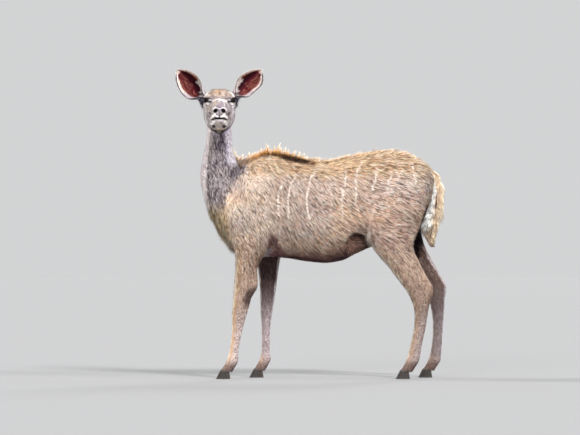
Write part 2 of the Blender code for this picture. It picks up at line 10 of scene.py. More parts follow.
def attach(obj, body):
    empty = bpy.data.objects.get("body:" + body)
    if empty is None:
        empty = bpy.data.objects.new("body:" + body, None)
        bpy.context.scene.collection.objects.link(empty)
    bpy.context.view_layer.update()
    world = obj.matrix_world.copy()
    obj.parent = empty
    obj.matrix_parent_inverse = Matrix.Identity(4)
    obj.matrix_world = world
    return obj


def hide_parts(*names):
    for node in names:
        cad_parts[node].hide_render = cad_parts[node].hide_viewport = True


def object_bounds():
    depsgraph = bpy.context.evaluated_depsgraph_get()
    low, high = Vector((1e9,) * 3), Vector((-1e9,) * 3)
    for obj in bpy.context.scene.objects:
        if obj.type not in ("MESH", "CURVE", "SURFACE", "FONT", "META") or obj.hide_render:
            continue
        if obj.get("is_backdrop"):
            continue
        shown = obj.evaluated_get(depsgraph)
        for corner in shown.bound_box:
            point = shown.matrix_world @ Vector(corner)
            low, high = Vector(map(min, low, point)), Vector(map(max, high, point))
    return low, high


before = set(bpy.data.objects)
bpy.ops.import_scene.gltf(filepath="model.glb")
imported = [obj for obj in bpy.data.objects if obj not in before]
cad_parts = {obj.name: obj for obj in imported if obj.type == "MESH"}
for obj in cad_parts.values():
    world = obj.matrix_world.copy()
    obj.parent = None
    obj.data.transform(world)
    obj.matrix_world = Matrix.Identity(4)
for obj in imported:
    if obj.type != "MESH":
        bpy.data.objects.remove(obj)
CAD_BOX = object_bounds()
SHIFT = np.array([0.057, 0.054, 0.0])  # row frame = body frame + SHIFT
rng = np.random.default_rng(20)


# ---------------------------------------------------------------- sections
# Every table is in centimetres. The animal faces -X, its left side is at -Y.
CM = 0.01
MOUTH_Z = 140.4                    # height of the mouth line
HEAD_X, HEAD_Y = -55.2, 2.5        # middle of the skull, and the back of the skull
HEAD_YAW, HEAD_TILT = 0.025, 0.045  # how far the muzzle leans to +X and down, per unit forward
RING = 72                          # points round a section

# x, top, bottom, half width, height of the widest line, exponents above and below
TRUNK = [
    (-57.2, 87.0, 80.5, 3.2, 84.0, 2.0, 2.0),
    (-55.5, 92.0, 77.6, 7.0, 84.0, 2.0, 2.0),
    (-52.5, 98.5, 74.0, 9.8, 84.0, 2.0, 2.0),
    (-49.0, 106.0, 69.0, 11.8, 84.0, 2.0, 2.0),
    (-45.0, 113.0, 66.2, 13.0, 84.0, 1.9, 2.0),
    (-38.0, 118.2, 65.0, 15.0, 86.0, 1.8, 2.0),
    (-28.0, 120.8, 65.0, 16.5, 87.0, 1.65, 2.1),
    (-18.0, 120.8, 64.2, 17.8, 87.0, 1.65, 2.1),
    (-8.0, 118.2, 62.6, 19.4, 86.0, 1.75, 2.1),
    (2.0, 117.0, 61.8, 20.7, 86.0, 1.85, 2.1),
    (10.0, 118.3, 63.0, 21.0, 87.0, 1.9, 2.1),
    (18.0, 120.2, 66.6, 19.8, 90.0, 1.95, 2.1),
    (27.0, 121.6, 70.4, 17.2, 95.0, 2.05, 2.1),
    (37.0, 122.3, 72.0, 15.8, 99.0, 2.15, 2.2),
    (46.0, 121.3, 74.0, 15.0, 101.0, 2.15, 2.2),
    (52.5, 118.6, 80.5, 13.0, 101.5, 2.0, 2.0),
    (57.0, 115.6, 90.0, 9.8, 102.5, 2.0, 2.0),
    (60.0, 112.6, 98.5, 6.2, 104.5, 2.0, 2.0),
]
# distance forward of the back of the skull, then as above, heights over the mouth line
HEAD = [
    (-1.2, 11.5, 3.5, 3.0, 8.0, 2.0, 2.0),
    (1.2, 14.0, -1.5, 5.4, 7.6, 2.0, 2.1),
    (5.0, 15.6, -5.8, 7.5, 6.5, 2.5, 2.3),
    (9.0, 16.1, -7.5, 8.5, 5.8, 2.8, 2.5),
    (12.5, 15.7, -7.3, 8.8, 6.4, 2.8, 2.4),
    (15.5, 14.2, -6.5, 7.9, 5.8, 2.5, 2.2),
    (19.0, 12.1, -5.6, 6.1, 4.4, 2.2, 2.1),
    (22.5, 10.1, -5.0, 5.1, 3.2, 2.1, 2.2),
    (26.0, 8.2, -4.5, 4.65, 1.9, 2.2, 2.3),
    (29.0, 6.7, -4.1, 4.75, 1.1, 2.3, 2.4),
    (31.4, 5.7, -3.5, 4.5, 1.0, 2.4, 2.4),
    (33.3, 4.7, -2.3, 3.6, 1.2, 2.4, 2.3),
    (34.4, 3.4, -0.4, 2.0, 1.6, 2.0, 2.0),
]
# height, front, back, middle across, half width across
NECK = [
    (152.0, -60.0, -51.0, 0.0, 4.5),
    (146.0, -61.8, -49.2, -1.2, 6.3),
    (140.0, -62.8, -48.1, -2.4, 7.3),
    (134.5, -62.4, -48.5, -2.8, 7.5),
    (129.0, -62.5, -48.5, -2.6, 7.5),
    (124.5, -63.4, -48.1, -2.2, 7.5),
    (120.0, -64.4, -47.2, -1.6, 7.6),
    (115.4, -65.2, -45.3, -1.2, 7.8),
    (111.0, -65.9, -43.0, -0.8, 8.1),
    (107.8, -66.0, -41.5, -0.5, 8.4),
    (104.2, -65.7, -40.0, -0.3, 8.8),
    (100.6, -64.7, -38.0, 0.0, 9.3),
    (97.0, -63.6, -36.5, 0.0, 9.7),
    (92.5, -62.0, -35.0, 0.0, 10.0),
    (88.0, -60.4, -34.0, 0.0, 10.2),
    (84.5, -58.4, -33.5, 0.0, 9.9),
    (81.0, -56.7, -33.0, 0.0, 9.2),
    (77.5, -54.6, -33.0, 0.0, 8.4),
    (74.0, -52.0, -34.0, 0.0, 7.2),
    (70.0, -49.6, -36.0, 0.0, 5.5),
]
FORE_LEFT = [
    (114.0, -31.0, -21.0, -5.2, 3.0),
    (108.0, -38.5, -17.0, -8.0, 5.2),
    (100.0, -46.0, -14.5, -9.8, 6.4),
    (92.0, -51.5, -14.0, -10.6, 7.0),
    (84.0, -54.0, -17.0, -10.9, 7.0),
    (77.0, -52.0, -22.5, -11.1, 6.6),
    (71.8, -48.6, -27.6, -11.2, 6.1),
    (68.0, -47.2, -29.7, -11.3, 5.5),
    (64.3, -47.0, -32.2, -11.3, 5.0),
    (58.3, -47.1, -34.6, -11.3, 4.4),
    (52.9, -47.4, -34.2, -11.2, 4.0),
    (49.3, -47.6, -34.6, -11.1, 3.8),
    (46.2, -47.8, -36.2, -11.0, 3.6),
    (43.4, -48.0, -37.8, -10.9, 3.4),
    (40.0, -48.2, -38.7, -10.8, 3.3),
    (36.5, -48.6, -39.8, -10.7, 3.2),
    (33.0, -48.7, -40.7, -10.6, 3.2),
    (29.0, -48.4, -41.9, -10.5, 2.9),
    (24.5, -48.7, -42.9, -10.4, 2.4),
    (17.3, -49.5, -44.4, -10.2, 2.2),
    (13.5, -50.3, -44.9, -10.1, 2.4),
    (10.5, -51.2, -44.7, -10.0, 2.8),
    (7.5, -52.5, -45.9, -10.0, 2.7),
    (5.0, -54.2, -47.4, -10.0, 2.9),
    (3.2, -55.2, -48.4, -10.0, 2.8),
]
FORE_RIGHT = [
    (114.0, -30.0, -20.0, 5.2, 3.0),
    (108.0, -36.5, -16.0, 8.0, 5.2),
    (100.0, -43.5, -12.5, 9.8, 6.4),
    (92.0, -49.0, -11.5, 10.6, 7.0),
    (84.0, -50.5, -13.0, 10.9, 7.0),
    (77.0, -47.0, -16.5, 11.1, 6.6),
    (71.8, -41.8, -19.4, 11.2, 6.1),
    (68.0, -38.2, -21.1, 11.3, 5.5),
    (64.0, -36.0, -22.4, 11.3, 5.0),
    (58.3, -34.9, -23.3, 11.3, 4.3),
    (50.2, -34.0, -24.5, 11.1, 3.8),
    (43.7, -33.6, -25.5, 10.9, 3.4),
    (37.8, -33.5, -26.4, 10.8, 3.2),
    (34.0, -33.4, -27.0, 10.7, 3.2),
    (30.0, -33.0, -27.5, 10.6, 2.9),
    (25.9, -32.9, -27.9, 10.5, 2.4),
    (17.3, -32.8, -28.1, 10.3, 2.2),
    (13.5, -33.0, -28.0, 10.2, 2.4),
    (10.5, -33.7, -27.5, 10.1, 2.8),
    (7.5, -35.0, -28.6, 10.0, 2.7),
    (5.0, -36.6, -30.1, 10.0, 2.9),
    (3.2, -37.6, -31.1, 10.0, 2.8),
]
HIND_LEFT = [
    (117.0, 36.0, 51.0, -6.5, 4.2),
    (110.0, 31.0, 56.5, -9.2, 6.6),
    (102.0, 27.5, 57.6, -10.6, 8.0),
    (94.0, 24.8, 56.0, -11.2, 8.5),
    (86.0, 23.6, 53.6, -11.5, 8.3),
    (79.0, 23.8, 50.8, -11.7, 7.7),
    (73.5, 25.2, 48.9, -11.8, 7.0),
    (69.0, 27.5, 49.4, -11.7, 6.3),
    (64.5, 31.2, 51.4, -11.6, 5.6),
    (60.0, 35.0, 53.7, -11.5, 4.9),
    (55.5, 38.4, 56.0, -11.3, 4.2),
    (51.8, 41.4, 58.3, -11.2, 3.7),
    (49.0, 43.6, 59.7, -11.1, 3.4),
    (46.5, 45.4, 59.9, -11.0, 3.3),
    (43.0, 47.1, 59.0, -10.9, 3.3),
    (39.0, 48.6, 57.5, -10.8, 3.2),
    (35.0, 49.2, 56.8, -10.7, 2.8),
    (29.7, 49.1, 56.0, -10.6, 2.4),
    (22.7, 48.0, 54.6, -10.5, 2.2),
    (16.5, 46.5, 53.3, -10.4, 2.3),
    (12.5, 45.5, 52.7, -10.3, 2.6),
    (9.5, 44.6, 52.0, -10.3, 2.8),
    (6.8, 43.4, 50.3, -10.3, 2.7),
    (4.8, 42.0, 49.0, -10.3, 2.9),
    (3.2, 41.1, 48.0, -10.3, 2.8),
]
HIND_RIGHT = [
    (117.0, 36.0, 51.0, 6.5, 4.2),
    (110.0, 31.0, 56.5, 9.2, 6.6),
    (102.0, 28.0, 57.6, 10.6, 8.0),
    (94.0, 26.5, 56.2, 11.2, 8.5),
    (86.0, 27.5, 55.0, 11.5, 8.3),
    (79.0, 31.0, 54.5, 11.7, 7.7),
    (73.5, 34.5, 55.6, 11.8, 7.0),
    (69.0, 38.5, 57.4, 11.7, 6.3),
    (64.5, 42.3, 59.8, 11.6, 5.6),
    (60.0, 46.0, 62.2, 11.5, 4.9),
    (55.8, 49.3, 64.6, 11.3, 4.2),
    (52.0, 52.4, 67.1, 11.2, 3.7),
    (49.5, 54.4, 67.9, 11.1, 3.4),
    (46.8, 56.2, 67.7, 11.0, 3.3),
    (43.0, 57.7, 67.0, 10.9, 3.3),
    (39.0, 58.9, 66.8, 10.8, 3.2),
    (35.0, 59.6, 66.6, 10.7, 2.8),
    (30.0, 60.1, 66.2, 10.6, 2.4),
    (24.0, 60.1, 65.8, 10.5, 2.2),
    (17.0, 59.4, 65.4, 10.4, 2.3),
    (12.5, 58.5, 65.1, 10.3, 2.6),
    (9.5, 57.6, 64.7, 10.3, 2.8),
    (6.8, 56.4, 63.1, 10.3, 2.7),
    (4.8, 55.1, 61.8, 10.3, 2.9),
    (3.2, 54.2, 60.9, 10.3, 2.8),
]
TAIL = [
    (114.0, 54.5, 60.0, 0.0, 2.6),
    (110.5, 56.8, 62.8, 0.0, 3.4),
    (105.3, 59.0, 65.0, 0.0, 3.8),
    (99.4, 58.0, 66.3, 0.0, 4.2),
    (92.6, 55.5, 66.8, 0.0, 4.5),
    (85.9, 53.5, 65.8, 0.0, 4.4),
    (80.5, 52.4, 63.6, 0.0, 3.9),
    (77.6, 53.5, 62.3, 0.0, 3.2),
    (74.5, 56.4, 61.5, 0.0, 2.3),
    (70.6, 58.8, 60.8, 0.0, 1.1),
]
# x, top, bottom, half width, widest line, exponents: the crest of long hair
CREST = [
    (-47.0, 119.6, 112.0, 1.2, 113.0, 1.5, 2.0),
    (-42.0, 121.2, 112.0, 1.7, 114.0, 1.5, 2.0),
    (-38.5, 122.1, 113.0, 1.9, 115.0, 1.5, 2.0),
    (-34.6, 123.8, 114.0, 2.0, 116.0, 1.5, 2.0),
    (-30.8, 126.2, 115.0, 2.1, 117.0, 1.5, 2.0),
    (-27.0, 127.2, 116.0, 2.1, 118.0, 1.5, 2.0),
    (-21.6, 125.9, 116.0, 2.1, 118.0, 1.5, 2.0),
    (-14.6, 123.2, 115.0, 2.0, 117.0, 1.5, 2.0),
    (-9.2, 120.6, 113.0, 1.8, 115.0, 1.5, 2.0),
    (-3.0, 117.6, 112.0, 1.3, 113.0, 1.5, 2.0),
]

EAR_THICK = 0.6
EAR_ROOT = (6.6, 2.2, 10.0)        # across from the skull's middle, forward of its back, over the mouth line
EAR_TIP = (22.4, 0.6, 25.9)
# share of the length, half width, half angle of the roll, shift of the middle line towards the crown
EAR = [
    (0.00, 1.9, 170.0, 0.0),
    (0.12, 2.2, 165.0, 0.0),
    (0.20, 3.3, 140.0, -0.8),
    (0.28, 4.6, 115.0, -1.4),
    (0.37, 5.6, 98.0, -1.5),
    (0.48, 6.1, 86.0, -1.2),
    (0.60, 6.05, 78.0, -0.9),
    (0.72, 5.4, 70.0, -0.65),
    (0.83, 4.3, 60.0, -0.55),
    (0.92, 2.8, 48.0, -0.45),
    (0.98, 1.3, 34.0, -0.2),
    (1.00, 0.5, 26.0, 0.0),
]
EYE_RADIUS = 1.95
EYE = (6.6, 13.4, 9.5)             # across, forward of the back of the skull, over the mouth line


def smooth_rows(rows, step):
    """The rows with smooth rows between them about `step` cm apart: a cubic that never swings past its points."""
    p = np.array(rows, float)
    span = np.maximum(np.linalg.norm(np.diff(p[:, :3], axis=0), axis=1), 1e-6)
    t = np.concatenate([[0.0], np.cumsum(span)])
    d = np.diff(p, axis=0) / span[:, None]
    m = np.zeros_like(p)
    m[0], m[-1] = d[0], d[-1]
    w1 = (2 * span[1:] + span[:-1])[:, None]
    w2 = (span[1:] + 2 * span[:-1])[:, None]
    same = d[:-1] * d[1:] > 0
    safe = np.where(same, d[:-1], 1.0), np.where(same, d[1:], 1.0)
    m[1:-1] = np.where(same, (w1 + w2) / (w1 / safe[0] + w2 / safe[1]), 0.0)
    n = max(4, int(round(t[-1] / step)))
    s = np.linspace(0, t[-1], n + 1)
    k = np.clip(np.searchsorted(t, s, side="right") - 1, 0, len(span) - 1)
    h, x = span[k][:, None], ((s - t[k]) / span[k])[:, None]
    return (
        (2 * x**3 - 3 * x**2 + 1) * p[k]
        + (x**3 - 2 * x**2 + x) * h * m[k]
        + (-2 * x**3 + 3 * x**2) * p[k + 1]
        + (x**3 - x**2) * h * m[k + 1]
    )


def oval(n_up, n_down, ring=RING):
    """Unit oval as (across, up); an exponent under 2 narrows it towards a ridge, over 2 squares it."""
    a = np.linspace(0, 2 * math.pi, ring, endpoint=False)
    c, s = np.cos(a), np.sin(a)
    n = np.where(s >= 0, n_up, n_down)
    return np.sign(c) * np.abs(c) ** (2 / n), np.sign(s) * np.abs(s) ** (2 / n)


def rings_along_x(rows, step=1.2, grow=0.0):
    """Upright sections, one behind the other along X, as on the trunk."""
    out = []
    for x, top, low, w, mid, nu, nd in smooth_rows(rows, step):
        a, b = oval(nu, nd)
        h = np.where(b >= 0, top - mid, mid - low) + grow
        out.append(np.stack([np.full(RING, x), a * (w + grow), mid + b * h], 1))
    return out


def head_axis(f):
    """Middle of the head and height of the mouth line at a distance f forward of the skull's back."""
    return HEAD_X + HEAD_YAW * (f - 13.0), MOUTH_Z - HEAD_TILT * f


def rings_of_head(rows, step=0.6, grow=0.0):
    """Upright sections along the head, which points to -Y."""
    out = []
    for f, top, low, w, mid, nu, nd in smooth_rows(rows, step):
        a, b = oval(nu, nd)
        h = np.where(b >= 0, top - mid, mid - low) + grow
        x, z = head_axis(f)
        out.append(np.stack([x + a * (w + grow), np.full(RING, HEAD_Y - f), z + mid + b * h], 1))
    return out


def rings_up_z(rows, step=1.2, grow=0.0, n=2.15):
    """Level sections, as down a leg, the neck or the tail."""
    out = []
    for z, front, back, y, w in smooth_rows(rows, step):
        a, b = oval(n, n)
        half = (back - front) / 2 + grow
        out.append(np.stack([(front + back) / 2 + a * half, y + b * (w + grow), np.full(RING, z)], 1))
    return out


def head_point(across, forward, up, side):
    x, z = head_axis(forward)
    return np.array([x + side * across, HEAD_Y - forward, z + up])


def ear_rings(side, steps=11, across=8):
    """Grid of points of the ear's sheet: a rolled stalk that opens into a wide cup facing -Y."""
    root, tip = head_point(*EAR_ROOT, side), head_point(*EAR_TIP, side)
    along = (tip - root) / np.linalg.norm(tip - root)
    length = np.linalg.norm(tip - root)
    back = np.array([0.0, 1.0, 0.0])
    back -= along * (back @ along)
    back /= np.linalg.norm(back)
    wide = np.cross(along, back)
    wide *= np.sign(wide[2])  # towards the crown
    rows = np.array(EAR)
    grid = []
    for t in np.linspace(0, 1, steps):
        half, roll, lean = (np.interp(t, rows[:, 0], rows[:, k]) for k in (1, 2, 3))
        roll = math.radians(roll)
        angle = np.linspace(-roll, roll, across)
        limit = min(roll, math.pi / 2)
        r = half / math.sin(limit)
        depth = r * (np.cos(angle) - math.cos(limit))
        grid.append(
            root
            + along * (length * t)
            + wide[None, :] * (lean + r * np.sin(angle))[:, None]
            + back[None, :] * depth[:, None]
        )
    return grid


# ---------------------------------------------------------------- small tools
def smoothstep(a, b, x):
    t = np.clip((x - a) / (b - a), 0.0, 1.0)
    return t * t * (3 - 2 * t)


def unit(v):
    return v / np.maximum(np.linalg.norm(v, axis=-1, keepdims=True), 1e-9)


def to_row(p):
    """Body frame in centimetres to the row frame in metres."""
    return np.asarray(p) * CM + SHIFT


def to_body(p):
    return (np.asarray(p) - SHIFT) / CM


def hashed(i, j, k, seed):
    """A repeatable number from 0 to 1 for every lattice point."""
    h = (i * 374761393 + j * 668265263 + k * 2147483647 + seed * 1274126177) & 0xFFFFFFFF
    h = ((h ^ (h >> 13)) * 1274126177) & 0xFFFFFFFF
    return ((h ^ (h >> 16)) & 0xFFFFFF) / float(0xFFFFFF)


def noise(p, size, seed=0):
    """Smooth value noise from -1 to 1 at points p, with cells of the given size."""
    q = np.asarray(p) / size
    i = np.floor(q).astype(np.int64)
    f = q - i
    f = f * f * (3 - 2 * f)
    out = np.zeros(len(q))
    for dx in (0, 1):
        for dy in (0, 1):
            for dz in (0, 1):
                w = (
                    (f[:, 0] if dx else 1 - f[:, 0])
                    * (f[:, 1] if dy else 1 - f[:, 1])
                    * (f[:, 2] if dz else 1 - f[:, 2])
                )
                out += w * hashed(i[:, 0] + dx, i[:, 1] + dy, i[:, 2] + dz, seed)
    return out * 2 - 1


def mesh_object(name, points, faces, smooth=True):
    """A mesh from numpy arrays: points in metres, and faces all with the same number of corners."""
    faces = np.asarray(faces, np.int32)
    mesh = bpy.data.meshes.new(name)
    mesh.vertices.add(len(points))
    mesh.vertices.foreach_set("co", np.asarray(points, np.float32).ravel())
    count, corners = faces.shape
    mesh.loops.add(count * corners)
    mesh.loops.foreach_set("vertex_index", faces.ravel())
    mesh.polygons.add(count)
    mesh.polygons.foreach_set("loop_start", np.arange(0, count * corners, corners, dtype=np.int32))
    mesh.polygons.foreach_set("use_smooth", np.full(count, smooth))
    mesh.update(calc_edges=True)
    mesh.validate(clean_customdata=False)
    obj = bpy.data.objects.new(name, mesh)
    bpy.context.scene.collection.objects.link(obj)
    return obj


def loft_arrays(rings):
    """Points and triangles of one closed loft through the rings, facing out."""
    rings = np.asarray(rings, float)
    m, n = rings.shape[:2]
    points = np.concatenate([rings.reshape(-1, 3), rings[0].mean(0)[None], rings[-1].mean(0)[None]])
    r, c = np.meshgrid(np.arange(m - 1), np.arange(n), indexing="ij")
    a = (r * n + c).ravel()
    b = (r * n + (c + 1) % n).ravel()
    tris = np.concatenate([np.stack([a, b, b + n], 1), np.stack([a, b + n, a + n], 1)])
    c = np.arange(n)
    start = np.stack([np.full(n, m * n), (c + 1) % n, c], 1)
    end = np.stack([np.full(n, m * n + 1), (m - 1) * n + c, (m - 1) * n + (c + 1) % n], 1)
    tris = np.concatenate([tris, start, end])
    v = points[tris]
    if np.einsum("ij,ij->i", v[:, 0], np.cross(v[:, 1], v[:, 2])).sum() < 0:
        tris = tris[:, ::-1]
    return points, tris


def inset_rows(rows, gap):
    """Level sections drawn in by gap(height)."""
    return [(z, f + gap(z), b - gap(z), y, w - gap(z)) for z, f, b, y, w in rows]


# ---------------------------------------------------------------- the skin under the coat
def leg_gap(z):
    return float(np.interp(z, [4, 12, 30, 50, 66, 84], [0.15, 0.16, 0.18, 0.26, 0.45, 0.7]))


TRUNK_GAP, NECK_GAP, HEAD_GAP = 0.65, 0.45, 0.26
FINE_AT = np.array([HEAD_X, HEAD_Y - 15.0, MOUTH_Z + 4.5])  # the skin is finest round this point
FINE_R, FINE_BY = 25.0, 3.0


def warp(p):
    """Enlarges the space round the head, so that one voxel size gives a finer head than body."""
    d = p - FINE_AT
    r = np.linalg.norm(d, axis=1, keepdims=True)
    out = np.where(r < FINE_R, r * FINE_BY, r + FINE_R * (FINE_BY - 1))
    return FINE_AT + d * out / np.maximum(r, 1e-6)


def unwarp(p):
    d = p - FINE_AT
    r = np.linalg.norm(d, axis=1, keepdims=True)
    out = np.where(r < FINE_R * FINE_BY, r / FINE_BY, r - FINE_R * (FINE_BY - 1))
    return FINE_AT + d * out / np.maximum(r, 1e-6)


def ear_stalk(side):
    """A solid root under each ear, so that the ear's cup grows out of the head."""
    rows = []
    grid = ear_rings(side, 60, 40)
    for t, swell in ((0, 1.25), (2, 1.12), (4, 1.0), (6, 0.92), (8, 0.84), (10, 0.7), (12, 0.45)):
        ring = grid[t]
        middle = ring.mean(0)
        rows.append(middle + (ring - middle) * swell)
    first = rows[0]
    inward = head_point(3.8, 3.2, 8.2, side) - first.mean(0)
    rows.insert(0, first + inward)
    return rows


def neck_rings():
    rows = inset_rows(NECK, lambda z: NECK_GAP if z < 128 else NECK_GAP + 0.25 * (z - 128) / 24)
    return rings_up_z(rows, 0.8)


def skin_shells():
    shorter = 1 - TRUNK_GAP / 60.0
    trunk = [ring * np.array([shorter, 1, 1]) for ring in rings_along_x(TRUNK, 0.8, -TRUNK_GAP)]
    head = rings_of_head(HEAD, 0.35, -HEAD_GAP)
    shells = [trunk, neck_rings(), head]
    shells += [rings_up_z(inset_rows(rows, leg_gap), 0.7) for rows in (FORE_LEFT, FORE_RIGHT, HIND_LEFT, HIND_RIGHT)]
    core = [(z, (f + b) / 2 - 0.32 * (b - f) / 2 - 0.3, (f + b) / 2 + 0.32 * (b - f) / 2 - 0.3, y, w * 0.42) for z, f, b, y, w in TAIL]
    shells.append(rings_up_z(core, 0.7))
    shells += [ear_stalk(side) for side in (-1, 1)]
    return shells


def remeshed(shells, voxel):
    """One closed surface round all the shells, in centimetres: points, quads."""
    points, tris, start = [], [], 0
    for rings in shells:
        p, t = loft_arrays(rings)
        points.append(warp(p))
        tris.append(t + start)
        start += len(p)
    obj = mesh_object("skin_raw", np.concatenate(points) * CM, np.concatenate(tris))
    mod = obj.modifiers.new("wrap", "REMESH")
    mod.mode = "VOXEL"
    mod.voxel_size = voxel
    mod.adaptivity = 0.0
    bpy.context.view_layer.update()
    mesh = obj.evaluated_get(bpy.context.evaluated_depsgraph_get()).to_mesh()
    co = np.empty(len(mesh.vertices) * 3, np.float32)
    mesh.vertices.foreach_get("co", co)
    loops = np.empty(len(mesh.loops), np.int32)
    mesh.loops.foreach_get("vertex_index", loops)
    quads = loops.reshape(-1, 4)
    raw = obj.data
    bpy.data.objects.remove(obj, do_unlink=True)
    bpy.data.meshes.remove(raw)
    return unwarp(co.reshape(-1, 3).astype(float) / CM), quads


def edges_of(quads):
    e = np.concatenate([quads[:, [0, 1]], quads[:, [1, 2]], quads[:, [2, 3]], quads[:, [3, 0]]])
    return np.unique(np.sort(e, 1), axis=0)


def averaged(values, edges, degree):
    out = np.empty_like(values)
    for k in range(values.shape[1]):
        out[:, k] = np.bincount(edges[:, 0], values[edges[:, 1], k], len(values)) + np.bincount(
            edges[:, 1], values[edges[:, 0], k], len(values)
        )
    return out / degree[:, None]


def normals_of(points, quads):
    n = np.cross(points[quads[:, 2]] - points[quads[:, 0]], points[quads[:, 3]] - points[quads[:, 1]])
    out = np.zeros_like(points)
    for k in range(4):
        for j in range(3):
            out[:, j] += np.bincount(quads[:, k], n[:, j], len(points))
    return unit(out)


def largest_part(points, quads):
    """Keeps the biggest connected surface and drops any inner bubble."""
    label = np.arange(len(points))
    e = edges_of(quads)
    while True:
        low = np.minimum(label[e[:, 0]], label[e[:, 1]])
        new = label.copy()
        np.minimum.at(new, e[:, 0], low)
        np.minimum.at(new, e[:, 1], low)
        new = new[new]
        if (new == label).all():
            break
        label = new
    keep = label == np.bincount(label).argmax()
    index = np.cumsum(keep) - 1
    return points[keep], index[quads[keep[quads[:, 0]]]]


def head_coordinates(p):
    """(across, forward, up over the mouth line) of points in the body frame."""
    f = HEAD_Y - p[:, 1]
    x, z = head_axis(f)
    return np.stack([p[:, 0] - x, f, p[:, 2] - z], 1)


def nape_side(p):
    """Distance in front of and above the cut between head and neck."""
    y0, z0, y1, z1 = -10.5, 134.4, 8.0, 146.0
    along = np.array([y1 - y0, z1 - z0]) / math.hypot(y1 - y0, z1 - z0)
    return (p[:, 2] - z0) * along[0] - (p[:, 1] - y0) * along[1]


# Muscle and bone under the coat: centre, reach in x, y and z, and height, in centimetres.
FORMS = [
    # shoulder blade and the point of the shoulder
    ((-36.0, 15.0, 101.0), (6.5, 9.0, 12.0), 0.9),
    ((-49.5, 11.0, 88.0), (6.5, 8.0, 9.0), 1.3),
    ((-38.0, 15.0, 86.0), (8.0, 8.0, 8.0), 0.7),
    # the groove between neck and shoulder, and the one behind the shoulder
    ((-47.5, 12.5, 104.0), (3.0, 7.0, 7.5), -1.0),
    ((-22.5, 16.0, 96.0), (3.4, 8.0, 13.0), -0.7),
    ((-20.0, 14.0, 76.0), (4.0, 7.0, 6.0), -0.9),
    # elbow, barrel
    ((-22.5, 13.5, 79.0), (3.0, 6.0, 4.0), 0.7),
    ((-4.0, 19.0, 84.0), (13.0, 8.0, 9.0), 0.7),
    # hollow of the flank, point of the hip, seat bone
    ((23.0, 17.0, 99.0), (7.5, 8.0, 8.5), -1.5),
    ((33.5, 12.5, 113.0), (4.2, 6.0, 4.2), 1.2),
    ((52.5, 9.5, 111.0), (5.0, 6.0, 5.0), 0.5),
    # thigh and the fold before it
    ((42.0, 16.5, 92.0), (9.0, 8.0, 12.0), 0.8),
    ((28.0, 17.0, 82.0), (3.2, 7.0, 7.0), 0.9),
]


def shape_body(p, quads):
    n = normals_of(p, quads)
    for (x, y, z), (rx, ry, rz), high in FORMS:
        for side in (-1, 1):
            d = (p - np.array([x, side * y, z])) / np.array([rx, ry, rz])
            w = np.exp(-(d**2).sum(1)) * (np.sign(p[:, 1]) == side)
            p = p + n * (w * high)[:, None]
    # The belly draws in before the thigh: a deep arch under the flank fold on both sides.
    for side in (-1, 1):
        d = (p - np.array([19.5, side * 17.0, 70.5])) / np.array([8.6, 9.5, 6.8])
        w = np.exp(-(d**2).sum(1) * 1.2) * smoothstep(28.5, 25.0, p[:, 0])
        p[:, 1] -= side * w * 5.0
        p[:, 2] += w * 0.8
    return p


# ---------------------------------------------------------------- the head
EYE_AXIS = unit(np.array([0.72, 0.68, 0.10]))  # across, forward, up
LID_HALF = (1.74, 1.34)                        # half width and half height of the eye's opening


def eye_frame(side):
    """Centre of an eye and its axis, its level direction towards the nose, and its up, in the body frame."""
    centre = head_point(*EYE, side)
    axis = unit(np.array([side * EYE_AXIS[0] + HEAD_YAW * EYE_AXIS[1], -EYE_AXIS[1], EYE_AXIS[2] - HEAD_TILT * EYE_AXIS[1]]))
    up = np.array([0.0, 0.0, 1.0])
    up = unit(up - axis * (up @ axis))
    nose = unit(np.cross(up, axis))
    if nose[1] > 0:
        nose = -nose
    # The inner corner sits lower than the outer one.
    tilt = math.radians(-9.0)
    nose, up = nose * math.cos(tilt) + up * math.sin(tilt), up * math.cos(tilt) - nose * math.sin(tilt)
    return centre, axis, nose, up


def mouth_height(a):
    """Height of the slit of the mouth over the mouth line, across the muzzle."""
    return -0.30 - 0.054 * np.minimum(np.abs(a), 5.0) ** 2


def bell(d, *centre_and_reach):
    out = 0.0
    for k in range(len(centre_and_reach) // 2):
        out = out + ((d[:, k] - centre_and_reach[2 * k]) / centre_and_reach[2 * k + 1]) ** 2
    return np.exp(-out)


